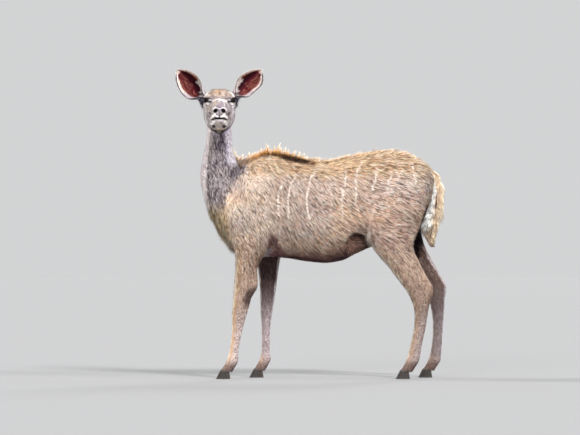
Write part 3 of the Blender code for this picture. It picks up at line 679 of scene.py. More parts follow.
def shape_head(p, quads):
    n = normals_of(p, quads)
    h = head_coordinates(p)
    a, f, u = h[:, 0], h[:, 1], h[:, 2]
    q = np.stack([np.abs(a), f, u], 1)
    on = smoothstep(-2.0, 1.5, nape_side(p))
    side = np.sign(a)
    push = np.zeros(len(p))
    # brow over the eye, cheekbone under it, and the hollow before it
    push += 0.55 * bell(q, 6.4, 1.9, 12.6, 3.2, 12.4, 1.0)
    push += 0.45 * bell(q, 7.3, 2.2, 14.6, 3.0, 6.2, 1.1)
    push -= 0.45 * bell(q, 5.6, 1.5, 17.8, 1.6, 8.6, 1.5)
    push -= 0.35 * bell(q, 8.0, 2.5, 8.0, 2.2, 9.0, 2.2)
    # forehead: a dome with two faint horn bosses and a dip between them
    push += 0.35 * bell(q, 3.1, 2.0, 5.5, 2.4, 15.0, 2.5)
    push -= 0.22 * bell(q, 0.0, 1.3, 9.0, 4.0, 15.5, 3.0)
    # bridge of the nose, narrow and flat-topped, and the hollow beside it
    push -= 0.40 * bell(q, 3.9, 1.1, 23.5, 4.5, 6.3, 1.7)
    push += 0.15 * bell(q, 1.8, 1.0, 24.0, 5.0, 9.5, 2.0)
    # masseter and the edge of the jaw
    push += 0.35 * bell(q, 7.5, 2.5, 9.0, 4.5, 0.0, 3.2)
    push -= 0.30 * bell(q, 5.2, 1.6, 20.5, 4.0, 0.2, 1.8)
    push += 0.25 * bell(q, 4.5, 1.8, 21.0, 5.0, -3.4, 1.0)
    # swell of the upper lip, nostril wings, lower lip and chin
    push += 0.32 * bell(q, 3.4, 1.5, 31.5, 2.2, 1.0, 1.0)
    push += 0.30 * bell(q, 2.3, 1.4, 33.3, 1.6, 4.4, 1.1)
    push += 0.18 * bell(q, 0.0, 2.6, 33.0, 2.0, -1.8, 0.7)
    push -= 0.18 * bell(q, 3.3, 1.0, 31.0, 1.6, -2.9, 0.7)
    push += 0.25 * bell(q, 0.0, 1.5, 30.5, 2.5, -4.2, 0.9)
    # groove down the middle of the upper lip
    push -= 0.30 * bell(q, 0.0, 0.32, 34.0, 1.6, 1.4, 1.5)
    p = p + n * (push * on)[:, None]

    # nostrils: comma-shaped pits
    h = head_coordinates(p)
    q = np.stack([np.abs(h[:, 0]), h[:, 1], h[:, 2]], 1)
    w = np.exp(-((((q[:, 0] - 2.1) / 1.02) ** 2 + ((q[:, 2] - 3.75 + 0.25 * (q[:, 0] - 2.1)) / 0.95) ** 2) ** 2.5)) * smoothstep(31.0, 32.2, q[:, 1])
    p[:, 1] += w * on * 1.8
    # slit of the mouth: it runs round the muzzle and back along the cheek
    h = head_coordinates(p)
    a, f, u = h[:, 0], h[:, 1], h[:, 2]
    line = mouth_height(a) - 0.045 * np.maximum(31.0 - f, 0.0)
    w = np.exp(-(((u - line) / 0.30) ** 2)) * smoothstep(23.5, 26.5, f) * on
    n = normals_of(p, quads)
    p = p - n * (w * 0.50)[:, None]
    return p


def open_eyes(p):
    """Sinks the skin inside each eye's opening behind the eyeball, and lays the lids close round it."""
    for side in (-1, 1):
        centre, axis, nose, up = eye_frame(side)
        d = p - centre
        along, x, y = d @ axis, d @ nose, d @ up
        near = (along > -0.5) & (np.hypot(x, y) < 4.0)
        radius = np.sqrt(np.maximum((x / LID_HALF[0]) ** 2 + (y / LID_HALF[1]) ** 2, 0.0))
        # Close round the opening the skin follows the ball, a little above it.
        wanted = np.sqrt(np.maximum((EYE_RADIUS + 0.16) ** 2 - x**2 - y**2, 0.25))
        ease = near * smoothstep(1.75, 1.05, radius) * 0.92
        new = along + (wanted - along) * ease
        sunk = near * smoothstep(1.0, 0.78, radius)
        new = new - sunk * 1.1
        # upper lid's fold and the rim of the orbit
        fold = near * np.exp(-(((radius - 1.5) / 0.16) ** 2)) * (y > 0)
        new = new - fold * 0.16
        p = p + axis * (new - along)[:, None] * near[:, None]
    return p


def build_skin():
    p, quads = remeshed(skin_shells(), 0.0072)
    p, quads = largest_part(p, quads)
    e = edges_of(quads)
    degree = np.bincount(e.ravel(), minlength=len(p)).astype(float)
    h = head_coordinates(p)
    front = smoothstep(-3.0, 3.0, nape_side(p))
    low = smoothstep(58.0, 48.0, p[:, 2])
    body = (1 - front) * (1 - low)
    # Joins between trunk, limbs and neck are eased over a wide band, the rest only against voxel steps.
    for k in range(60):
        share = body * 0.5 if k < 34 else body * 0
        share = share + (front * 0.5 if k < 7 else 0) + (low * 0.5 if k < 6 else 0)
        p = p + (averaged(p, e, degree) - p) * np.clip(share, 0, 0.5)[:, None]
        if k >= 33:
            break
    for k in range(10):
        p = p + (averaged(p, e, degree) - p) * 0.5
        p = p - (averaged(p, e, degree) - p) * 0.53
    p = shape_body(p, quads)
    p = shape_head(p, quads)
    for k in range(2):
        p = p + (averaged(p, e, degree) - p) * 0.5
        p = p - (averaged(p, e, degree) - p) * 0.53
    p = open_eyes(p)
    p[:, 2] = np.maximum(p[:, 2], 3.9)
    return p, quads, e, degree


# ---------------------------------------------------------------- ears
EAR_STEPS, EAR_ACROSS = 72, 49


def ear_table(steps):
    """The ear's half width, roll and lean along its length, rounded off between the named sections."""
    rows = np.array(EAR)
    fine = np.linspace(-0.3, 1.3, 641)
    out = []
    window = np.hanning(41)
    window /= window.sum()
    for k in (1, 2, 3):
        v = np.interp(fine, rows[:, 0], rows[:, k])
        low = fine > 1
        v[low] = rows[-1, k] + (rows[-1, k] - rows[-2, k]) / 0.02 * 0.25 * (fine[low] - 1) if k == 1 else rows[-1, k]
        soft = np.convolve(v, window, mode="same")
        out.append(np.interp(np.linspace(0, 1, steps), fine, soft))
    out[0] = np.maximum(out[0], 0.16)
    return out


def ear_sheet(side, steps=EAR_STEPS, across=EAR_ACROSS):
    """Middle surface of the ear: a (steps, across, 3) grid, its length from base to tip and its width from jaw to crown."""
    root, tip = head_point(*EAR_ROOT, side), head_point(*EAR_TIP, side)
    length = np.linalg.norm(tip - root)
    along = (tip - root) / length
    back = np.array([0.0, 1.0, 0.0])
    back = unit(back - along * (back @ along))
    wide = np.cross(along, back)
    wide *= np.sign(wide[2])
    half, roll, lean = ear_table(steps)
    if side > 0:
        # the left ear is held a little higher at its root
        t = np.linspace(0, 1, steps)
        lift = smoothstep(0.02, 0.25, t) * smoothstep(0.80, 0.50, t)
        half, lean = half - 0.55 * lift, lean + 1.10 * lift
    grid = np.zeros((steps, across, 3))
    for i, t in enumerate(np.linspace(0, 1, steps)):
        r0 = math.radians(roll[i])
        angle = np.linspace(-r0, r0, across)
        limit = min(r0, math.pi / 2)
        r = half[i] / math.sin(limit)
        depth = r * (np.cos(angle) - math.cos(limit))
        # The far edge curls a little forward near the tip, as an ear turned to listen does.
        depth = depth - 0.35 * smoothstep(0.55, 1.0, t) * (angle / r0) ** 2
        grid[i] = root + along * (length * t) + wide * (lean[i] + r * np.sin(angle))[:, None] + back * depth[:, None]
    return grid, along, wide, back


def ear_shell(side):
    """Closed shell of the ear: points, quads, and for each point (1 inner or 2 outer side, share of length, share across)."""
    grid, along, wide, back = ear_sheet(side)
    m, n = grid.shape[:2]
    du = np.gradient(grid, axis=0)
    dv = np.gradient(grid, axis=1)
    normal = unit(np.cross(du, dv))
    middle = grid[:, n // 2]
    inward = np.sign(np.einsum("ijk,k->ij", normal, -back)[m // 2, n // 2])
    normal = normal * inward
    t = np.linspace(0, 1, m)[:, None]
    v = np.linspace(-1, 1, n)[None, :]
    thick = (0.30 - 0.18 * smoothstep(0.2, 1.0, t)) * (1 - 0.55 * v**2) + 0.05
    # Long shallow ribs run up the inside of the cup, with a deeper trough by the inner edge.
    ribs = 0.10 * np.sin(v * 9.5 + 0.8 * np.sin(t * 4)) * (1 - v**2) * smoothstep(0.1, 0.35, t) * (1 - 0.6 * t)
    inner = grid + normal * (thick / 2 + ribs)[..., None]
    outer = grid - normal * (thick / 2)[..., None]
    points = np.concatenate([inner.reshape(-1, 3), outer.reshape(-1, 3)])
    r, c = np.meshgrid(np.arange(m - 1), np.arange(n - 1), indexing="ij")
    a = (r * n + c).ravel()
    quads_in = np.stack([a, a + 1, a + n + 1, a + n], 1)
    quads_out = quads_in[:, ::-1] + m * n
    quads = [quads_in, quads_out]
    i = np.arange(m - 1)
    for col, flip in ((0, False), (n - 1, True)):
        k = i * n + col
        q = np.stack([k, k + n, k + n + m * n, k + m * n], 1)
        quads.append(q[:, ::-1] if flip else q)
    c = np.arange(n - 1)
    for row, flip in ((0, True), (m - 1, False)):
        k = row * n + c
        q = np.stack([k, k + 1, k + 1 + m * n, k + m * n], 1)
        quads.append(q if flip else q[:, ::-1])
    quads = np.concatenate(quads)
    # All faces out: test one inner face against the inner side's normal.
    f = points[quads[len(quads_in) // 2]]
    face_normal = np.cross(f[1] - f[0], f[2] - f[0])
    if face_normal @ normal[m // 2, n // 2] < 0:
        quads = quads[:, ::-1]
    tt, vv = np.broadcast_to(t, (m, n)).ravel(), np.broadcast_to(v, (m, n)).ravel()
    info = np.concatenate([np.stack([np.ones(m * n), tt, vv], 1), np.stack([np.full(m * n, 2.0), tt, vv], 1)])
    return points, quads, info


# ---------------------------------------------------------------- eyes, lids and hooves
def eyeball(side, rings=40, around=64):
    """A ball with a slightly raised cornea: points, quads and colours."""
    centre, axis, nose, up = eye_frame(side)
    points, colours = [], []
    for k in range(rings + 1):
        a = math.pi * k / rings
        for j in range(around):
            b = 2 * math.pi * j / around
            x, y, z = math.sin(a) * math.cos(b), math.sin(a) * math.sin(b), math.cos(a)
            bulge = 0.05 * math.exp(-((a / 0.5) ** 2))
            points.append(centre + (axis * z + nose * x + up * y) * (EYE_RADIUS - 0.02 + bulge))
            pupil = math.hypot(x / 0.34, y / 0.15)
            iris = math.hypot(x, y) / 0.60
            streak = 0.75 + 0.25 * math.sin(b * 23 + math.sin(b * 7) * 2)
            if z < 0:
                c = (0.02, 0.012, 0.01)
            elif pupil < 1:
                c = (0.002, 0.002, 0.003)
            elif iris < 1:
                g = 0.5 + 0.5 * iris
                c = (0.009 * g * streak, 0.005 * g * streak, 0.0035 * g * streak)
            else:
                c = (0.004, 0.003, 0.003)
            colours.append(c)
    quads = []
    for k in range(rings):
        for j in range(around):
            j2 = (j + 1) % around
            quads.append((k * around + j, (k + 1) * around + j, (k + 1) * around + j2, k * around + j2))
    quads = np.array(quads)
    f = np.array(points)[quads[len(quads) // 2]]
    if np.cross(f[1] - f[0], f[2] - f[0]) @ (f.mean(0) - centre) < 0:
        quads = quads[:, ::-1]
    return np.array(points), quads, np.array(colours)


def lid_outline(theta):
    """The opening's outline: a wide almond, drawn out towards the nose."""
    x = np.cos(theta)
    y = np.sin(theta)
    x = x + 0.20 * np.maximum(x, 0) ** 6
    y = y * np.abs(y) ** 0.18 * np.where(y > 0, 1.0, 0.88)
    return x * LID_HALF[0], y * LID_HALF[1]


def eyelids(side, around=96):
    """A rounded rim of bare dark skin round the eye, thicker above: points, quads, colours."""
    centre, axis, nose, up = eye_frame(side)
    theta = np.linspace(0, 2 * math.pi, around, endpoint=False)
    x, y = lid_outline(theta)
    upper = smoothstep(-0.3, 0.6, np.sin(theta))
    points, colours = [], []
    rows = [
        (0.97, -0.06), (0.985, 0.05), (1.02, 0.13), (1.07, 0.19), (1.13, 0.21), (1.20, 0.18), (1.28, 0.10), (1.38, -0.05), (1.46, -0.25),
        (1.30, -0.45), (1.10, -0.30),
    ]
    for scale, high in rows:
        sx, sy = x * scale, y * scale
        lift = high * (0.8 + 0.75 * upper * (high > 0))
        base = np.sqrt(np.maximum(EYE_RADIUS**2 - np.minimum(sx**2 + sy**2, 0.93 * EYE_RADIUS**2), 0.0))
        points.append(centre + axis * (base + lift)[:, None] + nose * sx[:, None] + up * sy[:, None])
        shade = 0.008 + 0.015 * max(0.0, scale - 1.12)
        colours.append(np.tile([shade * 1.1, shade * 0.9, shade * 0.85], (around, 1)))
    m = len(rows)
    points = np.array(points).reshape(-1, 3)
    r, c = np.meshgrid(np.arange(m), np.arange(around), indexing="ij")
    a, b = (r * around + c).ravel(), (r * around + (c + 1) % around).ravel()
    a2, b2 = (((r + 1) % m) * around + c).ravel(), (((r + 1) % m) * around + (c + 1) % around).ravel()
    quads = np.stack([a, b, b2, a2], 1)
    k = 3 * around
    f = points[quads[k]]
    if np.cross(f[1] - f[0], f[2] - f[0]) @ axis < 0:
        quads = quads[:, ::-1]
    return points, quads, np.concatenate(colours)


TOES = (
    ("front_left", -57.0, -49.2, -10.0),
    ("front_right", -39.4, -31.6, 10.0),
    ("hind_left", 39.4, 47.0, -10.3),
    ("hind_right", 52.4, 60.0, 10.3),
)


def claw(front, back, y, side, around=56, levels=22):
    """One claw of a hoof from the ground up: a curved outer wall with growth rings, a flatter inner wall, a pointed toe."""
    rings, colours = [], []
    for k in range(levels + 1):
        t = k / levels
        z = 4.72 * t
        scale = 1.0 - 0.05 * t - 0.14 * t**2
        f, b = front + 0.50 * z + 0.08 * math.sin(z * 5.5) * 0.4, back - 0.03 - 0.17 * z
        if k == 0:
            f, b, scale = f + 0.06, b - 0.06, scale - 0.05
        a = np.linspace(0, 2 * math.pi, around, endpoint=False)
        along = (np.cos(a) + 1) / 2
        width = 1.40 * scale * (0.26 + 0.74 * np.sin(math.pi * np.minimum(1.0, 0.15 + 0.62 * along)))
        width = width * (1 + 0.012 * math.sin(z * 11.0))
        across = np.sin(a) * width
        across = np.where(np.sin(a) * side < 0, across * 0.80, across)
        rings.append(np.stack([(f + b) / 2 + np.cos(a) * (b - f) / 2, y + across, np.full(around, z)], 1))
        band = 0.5 + 0.5 * math.sin(z * 11.0 + 1.3 * math.sin(z * 3))
        tone = 0.020 + 0.014 * band + 0.03 * smoothstep(0.75, 1.0, t) + 0.015 * smoothstep(0.25, 0.0, t)
        colours.append(np.tile([tone * 1.12, tone * 0.96, tone * 0.86], (around, 1)))
    # the crown closes in a low dome under the hair
    for inset, high in ((0.86, 0.16), (0.55, 0.30), (0.2, 0.36)):
        top = rings[levels]
        middle = top.mean(0)
        rings.append(middle + (top - middle) * inset + np.array([0, 0, high]))
        colours.append(np.tile([0.09, 0.075, 0.065], (around, 1)))
    points, tris = loft_arrays(rings)
    colours = np.concatenate(colours + [[[0.03, 0.027, 0.025]], [[0.09, 0.075, 0.065]]])
    return points, tris, colours


def dew_claw(x, y, z, side, around=20, levels=9):
    """A small horn button behind the pastern."""
    rings, colours = [], []
    for k in range(levels + 1):
        t = k / levels
        r = 0.72 * math.sqrt(max(0.0, 1 - (2 * t - 0.9) ** 2 * 0.9)) + 0.02
        a = np.linspace(0, 2 * math.pi, around, endpoint=False)
        cx, cz = x + 0.9 - 0.75 * t, z + 1.5 - 2.6 * t
        rings.append(np.stack([cx + np.cos(a) * r * 0.85, y + np.sin(a) * r * 0.8, np.full(around, cz)], 1))
        colours.append(np.tile([0.045, 0.038, 0.034], (around, 1)))
    points, tris = loft_arrays(rings)
    return points, tris, np.concatenate(colours + [[[0.045, 0.038, 0.034]]] * 2)


# ---------------------------------------------------------------- colours of the animal
def lin(rgb):
    """sRGB from 0 to 255 to linear light."""
    c = np.asarray(rgb, float) / 255.0
    return np.where(c <= 0.04045, c / 12.92, ((c + 0.055) / 1.055) ** 2.4)


def mix(a, b, w):
    w = np.asarray(w)[..., None]
    return a * (1 - w) + b * w


def face_plane(p):
    """Across and down on an upright plane before the face, in steps of 5.4 mm, with the bridge of the nose near (219, 104)."""
    s = 1500.0 / (1500.0 + p[:, 1])
    x = -17.3 + (p[:, 0] + 17.3) * s
    z = 58.0 + (p[:, 2] - 58.0) * s
    return x / 0.54 + 322.0, 378.0 - z / 0.54


def to_line(x, y, line):
    """Distance of points from a polyline in a plane."""
    best = np.full(len(x), 1e9)
    for (x0, y0), (x1, y1) in zip(line, line[1:]):
        dx, dy = x1 - x0, y1 - y0
        t = np.clip(((x - x0) * dx + (y - y0) * dy) / (dx * dx + dy * dy), 0, 1)
        best = np.minimum(best, np.hypot(x - x0 - t * dx, y - y0 - t * dy))
    return best


SHOULDER = lin((255, 230, 210))
RIBS = lin((221, 198, 184))
FLANK = lin((232, 203, 184))
RUMP = lin((214, 194, 184))
THIGH_TONE = lin((202, 175, 162))
BACK_GOLD = lin((208, 172, 132))
# brown of the belly, darkened with painted shade
BELLY_AND_SHADE = lin((158, 132, 123))
# near black painted shade for the hollow before the thigh and between the thighs
GROIN_SHADE = lin((62, 44, 42))
NECK_TONE = lin((186, 173, 178))
NECK_DARK = lin((166, 154, 166))
NECK_PALE = lin((236, 223, 220))
CHEST = lin((214, 186, 150))
LEG_TONE = lin((212, 182, 164))
LEG_FRONT = lin((214, 178, 146))
LEG_LOW = lin((194, 175, 168))
LEG_INNER_DARK_AND_SHADE = lin((80, 62, 66))
LEG_LAVENDER = lin((184, 167, 170))
MUZZLE = lin((176, 164, 166))
CHEEK = lin((182, 171, 173))
CROWN = lin((196, 172, 160))
WHITE = lin((248, 243, 238))
BLACK = lin((5, 3, 5))
EAR_TROUGH_SHADE = lin((46, 8, 20))
EAR_RED = lin((86, 26, 33))
EAR_RIM = lin((244, 222, 214))
EAR_GREY = lin((158, 147, 156))
TEMPLE_HAIR_AND_SHADE = lin((52, 44, 52))


def neck_edge(z):
    """Where the grey of the neck meets the tan of the shoulder, along x at height z."""
    return np.interp(z, [66, 74.5, 88, 100, 108, 113, 117, 120, 128, 160], [-50, -50.8, -54.5, -49.8, -44.5, -40.5, -41.5, -39.5, -34, -28])


def leg_sections(p):
    """For each point of a leg: its share of the depth from front to back, and 1 on the outer face to -1 on the inner."""
    limb = limb_of(p)
    depth, out = np.zeros(len(p)), np.zeros(len(p))
    for k in range(4):
        on = limb == k
        rows = np.array(LIMB_ROWS[k])[::-1]
        front, back, middle, half = (np.interp(p[on, 2], rows[:, 0], rows[:, j]) for j in (1, 2, 3, 4))
        depth[on] = (p[on, 0] - front) / (back - front)
        out[on] = (p[on, 1] - middle) / half * np.sign(middle)
    return depth, out


def leg_colour(p):
    """Colour of the short coat of the legs: golden down the front with painted rim light, grey and speckled behind,
    dark on the inner side above, partly painted shade.
    """
    z = p[:, 2]
    fore = p[:, 0] < 5
    depth, out = leg_sections(p)
    ragged = 0.10 * noise(p, 2.5, 21) + 0.06 * noise(p, 0.9, 22)
    depth = depth + ragged
    c = np.tile(LEG_TONE, (len(p), 1))
    # lower down: tan before, grey-lilac behind
    c = mix(c, LEG_LOW, smoothstep(44, 30, z) * smoothstep(0.30, 0.55, depth) * 0.8)
    c = mix(c, LEG_LAVENDER, smoothstep(40, 24, z) * smoothstep(0.55, 0.85, depth) * 0.5)
    c = mix(c, LEG_FRONT, smoothstep(0.36, 0.16, depth) * np.where(fore, 0.95, 0.25) * smoothstep(9, 14, z))
    c = c * np.where(fore, 1.0, np.interp(z, [8, 30, 46, 56], [0.62, 0.66, 0.74, 1.0]))[:, None]
    # painted rim light down the front edge of the legs
    painted_rim_light = smoothstep(0.15, 0.05, depth) * smoothstep(8, 12, z)
    c = mix(c, lin((255, 238, 216)), painted_rim_light * np.where(fore, 0.85, 0.65))
    # behind the forearm a brown patch above the knee
    c = mix(c, lin((78, 62, 60)), np.where(fore, 1, 0) * smoothstep(0.50, 0.72, depth) * smoothstep(36, 41, z) * smoothstep(52, 46, z) * 0.9)
    c = mix(c, lin((140, 116, 104)), np.where(fore, 1, 0) * smoothstep(0.45, 0.80, depth) * smoothstep(50, 56, z) * 0.5)
    # behind the hock and along the back of the cannon the hair is darker, too
    c = mix(c, lin((120, 98, 90)), np.where(fore, 0, 1) * smoothstep(0.72, 0.95, depth) * smoothstep(14, 20, z) * smoothstep(52, 44, z) * 0.5)
    # inner faces: dark hair deepened with painted shade, near black by the chest, lilac-grey from the knee down, with a
    # pale line before and behind, the one behind painted rim light
    inner = smoothstep(0.15, -0.35, out + 0.5 * ragged)
    dark = mix(np.tile(LEG_LAVENDER * 0.92, (len(p), 1)), LEG_INNER_DARK_AND_SHADE, np.interp(z, [34, 42, 50], [0.0, 0.55, 1.0]))
    share = np.where(fore, 0.95, 0.75) * inner * smoothstep(9, 14, z)
    dark = dark * np.where(fore, 1.0, np.interp(z, [10, 34, 50, 66], [0.50, 0.55, 0.9, 1.0]))[:, None]
    edge = np.maximum(0.6 * smoothstep(0.12, 0.05, depth - ragged * 0.6) * smoothstep(66, 62, z), smoothstep(0.88, 0.93, depth - ragged * 0.6))
    c = mix(c, dark, share * (1 - 0.75 * edge))
    c = mix(c, lin((234, 226, 240)), share * edge * 0.75)
    # painted shade darkens the far legs more than the near ones; both are darker below the knee
    c = c * np.where(p[:, 1] > 0, np.interp(z, [6, 36, 48], [0.66, 0.68, 0.95]), np.interp(z, [6, 36, 48], [0.78, 0.78, 0.95]))[:, None]
    # speckles of brown over the grey
    speck = smoothstep(0.10, 0.5, noise(p * np.array([1, 1, 0.7]), 0.5, 23)) * smoothstep(48, 38, z)
    c = mix(c, lin((84, 68, 68)), 0.75 * speck * smoothstep(0.25, 0.45, depth))
    pale = smoothstep(0.10, 0.5, -noise(p * np.array([1, 1, 0.7]), 0.5, 23)) * smoothstep(42, 34, z)
    c = mix(c, lin((226, 216, 220)), 0.30 * pale * smoothstep(0.30, 0.5, depth) * np.where(fore, 1.0, 0.35))
    # a dark ring over the hooves and between the claws
    c = mix(c, lin((92, 72, 66)), 0.75 * smoothstep(10.5, 6.5, z))
    return c


def body_colour(p):
    """Colour of the coat of trunk, neck, legs and tail, without the stripes."""
    x, y, z = p[:, 0], np.abs(p[:, 1]), p[:, 2]
    c = np.tile(RIBS, (len(p), 1))
    c = mix(c, SHOULDER, smoothstep(-18, -32, x) * smoothstep(64, 80, z))
    c = mix(c, FLANK, smoothstep(0, 14, x) * smoothstep(66, 80, z))
    c = mix(c, RUMP, smoothstep(22, 38, x) * smoothstep(84, 100, z))
    c = mix(c, THIGH_TONE, smoothstep(24, 34, x) * smoothstep(104, 88, z))
    # patches a little greyer and browner
    c = mix(c, c * np.array([0.80, 0.80, 0.86]), smoothstep(0.1, 0.7, noise(p, 9.0, 31)))
    c = mix(c, c * np.array([1.08, 1.0, 0.90]), smoothstep(0.1, 0.7, noise(p, 12.0, 32)))
    top = np.interp(x, [-50, -20, 0, 20, 40, 60], [113, 113, 112, 113, 115, 113])
    streak = noise(p * np.array([0.45, 1, 1.0]), 1.5, 33)
    ridge = smoothstep(-7.5, -1.0, z - top + 2.4 * streak) * smoothstep(-46, -38, x)
    c = mix(c, BACK_GOLD, 0.66 * ridge)
    c = mix(c, lin((84, 60, 48)), 0.75 * ridge * smoothstep(0.25, 0.7, noise(p * np.array([0.4, 1, 1.2]), 1.7, 34)) * smoothstep(-26, -16, x) * smoothstep(30, 16, x))
    c = mix(c, lin((240, 214, 186)), 0.65 * smoothstep(48, 54, x) * smoothstep(92, 99, z) * smoothstep(-0.3, 0.4, noise(p, 1.8, 62)))
    pale = smoothstep(0.0, 0.55, noise(p * np.array([0.5, 1, 1.3]), 1.6, 58)) * smoothstep(18, 26, x) * smoothstep(106, 111, z + 0.12 * (x - 40))
    c = mix(c, lin((250, 232, 206)), 0.60 * pale)
    c = mix(c, lin((120, 92, 74)), 0.55 * smoothstep(0.1, 0.6, noise(p * np.array([0.5, 1, 1.3]), 1.5, 59)) * smoothstep(14, 24, x) * smoothstep(107, 112, z) * (1 - pale))
    # black-brown hair along the foot of the crest
    foot = np.interp(x, [-40, -35.4, -29.2, -24.9, -20.6, -16.2, -10.8, -5.4, 0], [118.0, 118.6, 119.9, 119.3, 117.8, 116.7, 115.5, 115.3, 115.4])
    band = smoothstep(-0.6, 0.5, z - foot + 1.1 * noise(p * np.array([0.8, 1, 1.3]), 0.9, 57)) * smoothstep(-39, -33, x) * smoothstep(-1.0, -7.0, x)
    c = mix(c, mix(np.tile(lin((96, 66, 48)), (len(p), 1)), lin((26, 15, 13)), smoothstep(-32, -24, x)), 0.95 * band)
    # lower flank and belly: brown hair darkened with painted shade, darkest along the underside
    floor_of_trunk = np.interp(x, [-45, -20, 2, 18, 27], [68, 65, 62, 66.5, 70.5])
    rise = np.interp(x, [-30, -12, 6, 20], [4.0, 6.5, 10.0, 11.0]) + 1.2 * noise(p, 2.2, 39)
    c = mix(c, BELLY_AND_SHADE, 0.9 * smoothstep(rise, rise * 0.35, z - floor_of_trunk) * smoothstep(-36, -28, x) * smoothstep(30, 24, x))
    c = mix(c, lin((100, 78, 76)), 0.9 * smoothstep(rise * 0.55, rise * 0.12, z - floor_of_trunk) * smoothstep(-28, -16, x) * smoothstep(26, 20, x))
    c = mix(c, lin((84, 62, 64)), 0.85 * smoothstep(2.2, 0.4, z - floor_of_trunk) * smoothstep(-30, -24, x) * smoothstep(24, 18, x))
    # the hollow before the thigh: painted shade, darkest under its arch, browner where the belly's hair runs into it
    round_arch = np.hypot((x - 18.8) / 6.6, (z - 71.2) / 7.0) + 0.05 * noise(p, 1.5, 35)
    cave = smoothstep(1.06, 0.94, round_arch) * smoothstep(27.0, 26.2, x)
    under = smoothstep(0.42, 0.78, round_arch) * smoothstep(-0.25, 0.55, (x - 18.8) / 6.6 + (z - 71.2) / 7.0)
    c = mix(c, lin((156, 126, 116)), 0.9 * cave)
    c = mix(c, GROIN_SHADE, 0.98 * cave * under)
    c = mix(c, lin((255, 240, 226)), 0.92 * smoothstep(1.3, 0.5, to_line(x + 0.5 * noise(p, 1.2, 49), z, [(25.2, 78.0), (24.6, 74.5), (27.0, 69.7), (28.2, 66.0)])))
    # painted shadow: the inner side of the thighs under the tail is painted near black
    c = mix(c, GROIN_SHADE * 0.45, 0.95 * smoothstep(10.6, 8.6, y) * smoothstep(38, 43, x) * smoothstep(97, 90, z) * smoothstep(56, 64, z) * (x > 0))
    c = mix(c, GROIN_SHADE * 0.30, 0.97 * smoothstep(-8.5, -7.0, p[:, 1]) * smoothstep(13.0, 11.5, p[:, 1]) * smoothstep(46.5, 48.5, x) * smoothstep(61, 64, z) * smoothstep(84, 81, z))
    # painted shade in the pocket behind the elbow
    left, right = np.interp(z, [64, 77.5], [-30.8, -27.4]), np.interp(z, [64, 69, 77.5], [-18, -20.5, -26.2])
    ragged = 0.9 * noise(p, 1.8, 36)
    elbow = smoothstep(-0.8, 0.8, x - left + ragged) * smoothstep(0.9, -0.9, x - right + ragged) * smoothstep(79, 75, z) * smoothstep(62, 65, z)
    c = mix(c, lin((112, 84, 90)), 0.85 * elbow)
    # neck: grey, darker down the middle of the front and by the throat
    neck = smoothstep(2.4, -2.2, x - neck_edge(z) + 1.6 * noise(p, 3.0, 37) + 1.6 * noise(p, 0.9, 63)) * smoothstep(72, 80, z)
    tone = mix(np.tile(NECK_TONE, (len(p), 1)), NECK_DARK, smoothstep(112, 134, z))
    tone = mix(tone, NECK_DARK * 0.8, 0.7 * smoothstep(0.1, 0.7, noise(p * np.array([1, 1, 0.5]), 3.2, 38)))
    # painted shadow of the neck: a dark line where the neck meets the shoulder
    tone = mix(tone, lin((80, 74, 92)), 0.60 * smoothstep(4.6, 2.0, np.abs(x - neck_edge(z) + 3.2)) * smoothstep(105, 110, z) * smoothstep(120, 116, z))
    tone = mix(tone, lin((104, 84, 88)), 0.3 * smoothstep(2.6, 1.0, np.abs(x - neck_edge(z) + 2.0)) * smoothstep(84, 90, z) * smoothstep(106, 100, z))
    # painted shade under the chin, and the side behind it painted lighter and blue-grey as a painted sky reflection
    tone = mix(tone, lin((58, 50, 72)), 0.80 * np.exp(-(((x + 54.8) / 3.6) ** 2 + ((z - 128.5) / 7.5) ** 4)))
    tone = mix(tone, lin((206, 200, 222)), 0.72 * smoothstep(-53.4, -51.0, x) * smoothstep(113, 119, z))
    tone = mix(tone, lin((190, 176, 168)), 0.55 * smoothstep(-57.0, -59.5, x) * smoothstep(114, 121, z))
    # a brown speckled strip inside the pale front edge
    tone = mix(tone, lin((96, 84, 90)), 0.5 * smoothstep(1.6, 0.6, np.abs(x + 61.2)) * smoothstep(90, 98, z) * smoothstep(120, 114, z))
    # painted rim light: both edges of the neck are painted paler
    front_edge = np.interp(z, [88, 95, 104, 112, 120, 128, 136], [-62.5, -64.3, -65.6, -65.3, -64.0, -63.2, -62.3])
    tone = mix(tone, lin((250, 236, 238)), 0.97 * smoothstep(np.interp(z, [104, 124, 132], [3.9, 3.3, 3.1]), np.interp(z, [104, 124, 132], [2.9, 2.4, 2.3]), x - front_edge + 0.5 * noise(p, 1.0, 60)) * smoothstep(88, 94, z))
    tone = mix(tone, lin((240, 236, 248)), 0.85 * smoothstep(-50.9, -49.9, x) * smoothstep(113, 117, z))
    tone = mix(tone, NECK_PALE, 0.30 * smoothstep(0.2, 0.8, noise(p * np.array([1, 1, 0.45]), 2.0, 44)))
    # the chin's point over the throat, edged by a dark line of painted shadow under the jaw
    px, py = face_plane(p)
    dx = np.abs(px - 219.2)
    edge = py - (133.3 - 0.42 * dx - 0.026 * dx**2)
    here = smoothstep(1.0, -1.0, p[:, 1] + 3.0) * smoothstep(127.5, 129.0, py) * smoothstep(137.0, 135.0, py) * smoothstep(10.5, 8.0, dx)
    tone = mix(tone, lin((206, 190, 172)), 0.85 * here * smoothstep(0.1, -0.5, edge))
    tone = mix(tone, lin((36, 28, 34)), 0.95 * here * smoothstep(0.95, 0.35, np.abs(edge)))
    c = mix(c, tone, neck)
    c = mix(c, CHEST, smoothstep(96, 86, z + 1.5 * noise(p, 2.5, 61)) * smoothstep(-46, -53, x))
    # legs
    fore = smoothstep(-12, -20, x) * smoothstep(73, 65, z)
    hind = smoothstep(20, 26, x) * smoothstep(76, 62, z)
    leg = np.maximum(fore, hind)
    on = leg > 0
    if on.any():
        depth = leg_sections(p[on])[0]
        beyond = smoothstep(1.02, 1.22, depth) * np.where(x[on] < 5, smoothstep(59, 63, z[on]), 0)
        c[on] = mix(c[on], leg_colour(p[on]), leg[on] * (1 - beyond))
